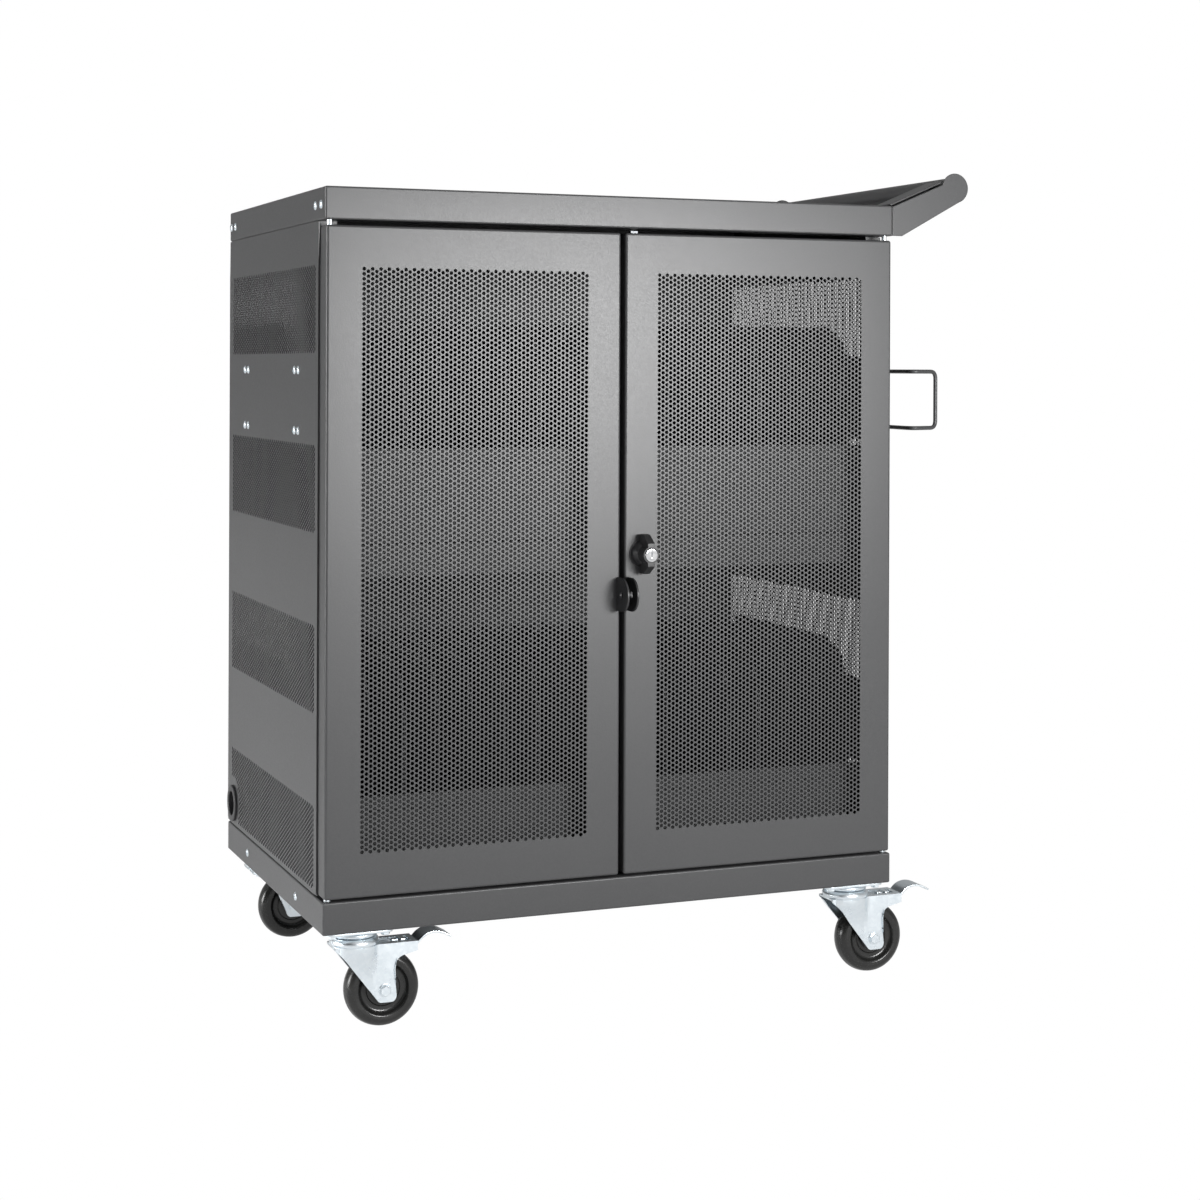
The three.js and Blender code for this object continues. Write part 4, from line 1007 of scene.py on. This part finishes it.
def addCaster(label, name):
    x, y, _ = extent(label + "_caster_plate")
    place = Matrix.Translation((middle(x), middle(y), 0))
    front = label.startswith("front")
    rows = [("Plate", "plate", "cabinet", "zinc_plate", "_caster_plate"),
            ("Fork", "brakedFork" if front else "fork", label + "_caster", "zinc_plate", "_fork"),
            ("Axle", "axle", label + "_caster", "zinc_plate", "_axle"),
            ("Wheel", "wheel", label + "_roller", "wheel_rubber", "_wheel")]
    if front:
        rows.append(("Pedal", "pedal", label + "_brake", "zinc_plate", "_brake_pedal"))
    for suffix, shape, body, slot, ending in rows:
        mesh = shapes[shape].copy()
        mesh.transform(place)
        finish(name + suffix, mesh, body, slot, label + ending)


for label, name in (("front_left", "frontLeft"), ("front_right", "frontRight"), ("rear_left", "rearLeft"),
                    ("rear_right", "rearRight")):
    addCaster(label, name)
for mesh in shapes.values():
    bpy.data.meshes.remove(mesh)
for cell in cells.values():
    bpy.data.objects.remove(cell)
print("casters made")

# Floor, light and camera
work = bmesh.new()
bmesh.ops.create_grid(work, x_segments=1, y_segments=1, size=12)
floor = bpy.data.objects.new("floor", meshOf(work, "floor"))
scene.collection.objects.link(floor)


# The floor is plain white to the camera, and to reflected rays it glows like a lamp: a painted reflection of floor
# light, dimming from 0.6 to 0.25 between x = 0.2 and 1.3 m
def paleFloor():
    made = bpy.data.materials.new("paleFloor")
    made.use_nodes = True
    start = Wire(made.node_tree)
    nodes = made.node_tree.nodes
    nodes["Principled BSDF"].inputs["Base Color"].default_value = (0.8, 0.8, 0.8, 1)
    nodes["Principled BSDF"].inputs["Roughness"].default_value = 0.9
    glow = start.make("ShaderNodeEmission", None, {"Color": (1, 1, 1, 1), "Strength": 1.0})
    rays = start.make("ShaderNodeLightPath", output="Is Camera Ray")
    place = start.make("ShaderNodeSeparateXYZ", None, {0: start.make("ShaderNodeTexCoord", output="Object")})
    fade = start.make("ShaderNodeMapRange", None, {"Value": place, "From Min": 0.2, "From Max": 1.3,
                                                   "To Min": 0.6, "To Max": 0.25})
    seen = start.math("MAXIMUM", rays, rays.pick("Is Glossy Ray") * fade)
    diffuse = Wire(made.node_tree, nodes["Principled BSDF"].outputs[0])
    both = start.make("ShaderNodeMixShader", None, {0: seen, 1: diffuse, 2: glow})
    start.feed(nodes["Material Output"].inputs["Surface"], both)
    return made


floor.data.materials.append(paleFloor())

world = bpy.data.worlds.new("studio")
world.use_nodes = True
scene.world = world
start = Wire(world.node_tree)
paths = start.make("ShaderNodeLightPath", output="Is Camera Ray")
ray = start.make("ShaderNodeTexCoord", output="Generated")
studio = {"ambient": 0.36, "left": (-0.985, 0.17, 0.03), "leftGlow": 15.0, "top": (0.1, -0.15, 0.98), "topGlow": 0.8,
          "gap": (-0.75, -0.66, 0), "gapShade": 0.34}


# How far a ray points along a way of the studio, from 0 to 1 between two cosines
def towards(way, wide, narrow):
    cosine = start.make("ShaderNodeVectorMath", {"operation": "DOT_PRODUCT"}, {0: ray, 1: way}, "Value")
    return start.make("ShaderNodeMapRange", {"interpolation_type": "SMOOTHSTEP"}, {
        "Value": cosine, "From Min": wide, "From Max": narrow})


mirrored = towards(studio["left"], 0.93, 0.985) * studio["leftGlow"]
mirrored = mirrored + towards(studio["top"], 0.8, 0.95) * studio["topGlow"]
mirrored = mirrored - towards(studio["gap"], 0.60, 0.85) * studio["gapShade"]
strength = paths * (1 - studio["ambient"]) + studio["ambient"] + paths.pick("Is Glossy Ray") * mirrored
start.feed(world.node_tree.nodes["Background"].inputs["Color"], (1, 1, 1, 1))
start.feed(world.node_tree.nodes["Background"].inputs["Strength"], strength)


def softBox(name, place, target, size, power, shiny):
    light = bpy.data.lights.new(name, "AREA")
    light.shape = "RECTANGLE"
    light.size, light.size_y = size
    light.energy = power
    lamp = bpy.data.objects.new(name, light)
    scene.collection.objects.link(lamp)
    lamp.location = place
    lamp.visible_camera = False
    lamp.visible_glossy = shiny
    lamp.rotation_euler = (Vector(target) - Vector(place)).to_track_quat("-Z", "Y").to_euler()


softBox("keyBox", (0.75, -2.75, 0.97), (0.0, -0.25, 0.9), (1.1, 0.55), 79, True)
softBox("sideBox", (-3.0, -0.9, 0.6), (-0.45, 0.0, 0.5), (1.0, 1.2), 25, False)
softBox("lowBox", (-0.84, -0.1, 0.06), (-0.48, -0.02, 0.12), (0.7, 0.1), 1.8, False)

camera = bpy.data.objects.new("camera", bpy.data.cameras.new("camera"))
scene.collection.objects.link(camera)
scene.camera = camera
camera.data.lens = 65.89
camera.data.sensor_fit = "VERTICAL"
camera.data.sensor_height = 36
camera.data.sensor_width = 29
camera.data.shift_y = -0.1923
heading = Matrix.Rotation(math.radians(-22.025), 4, "Z") @ Matrix.Rotation(math.radians(90), 4, "X")
roll = Matrix.Rotation(math.radians(0.227), 4, "Z")
camera.matrix_world = Matrix.Translation((-1.2202, -3.0419, 0.8729)) @ heading @ roll
scene.view_settings.view_transform = "Standard"
print("stage set")
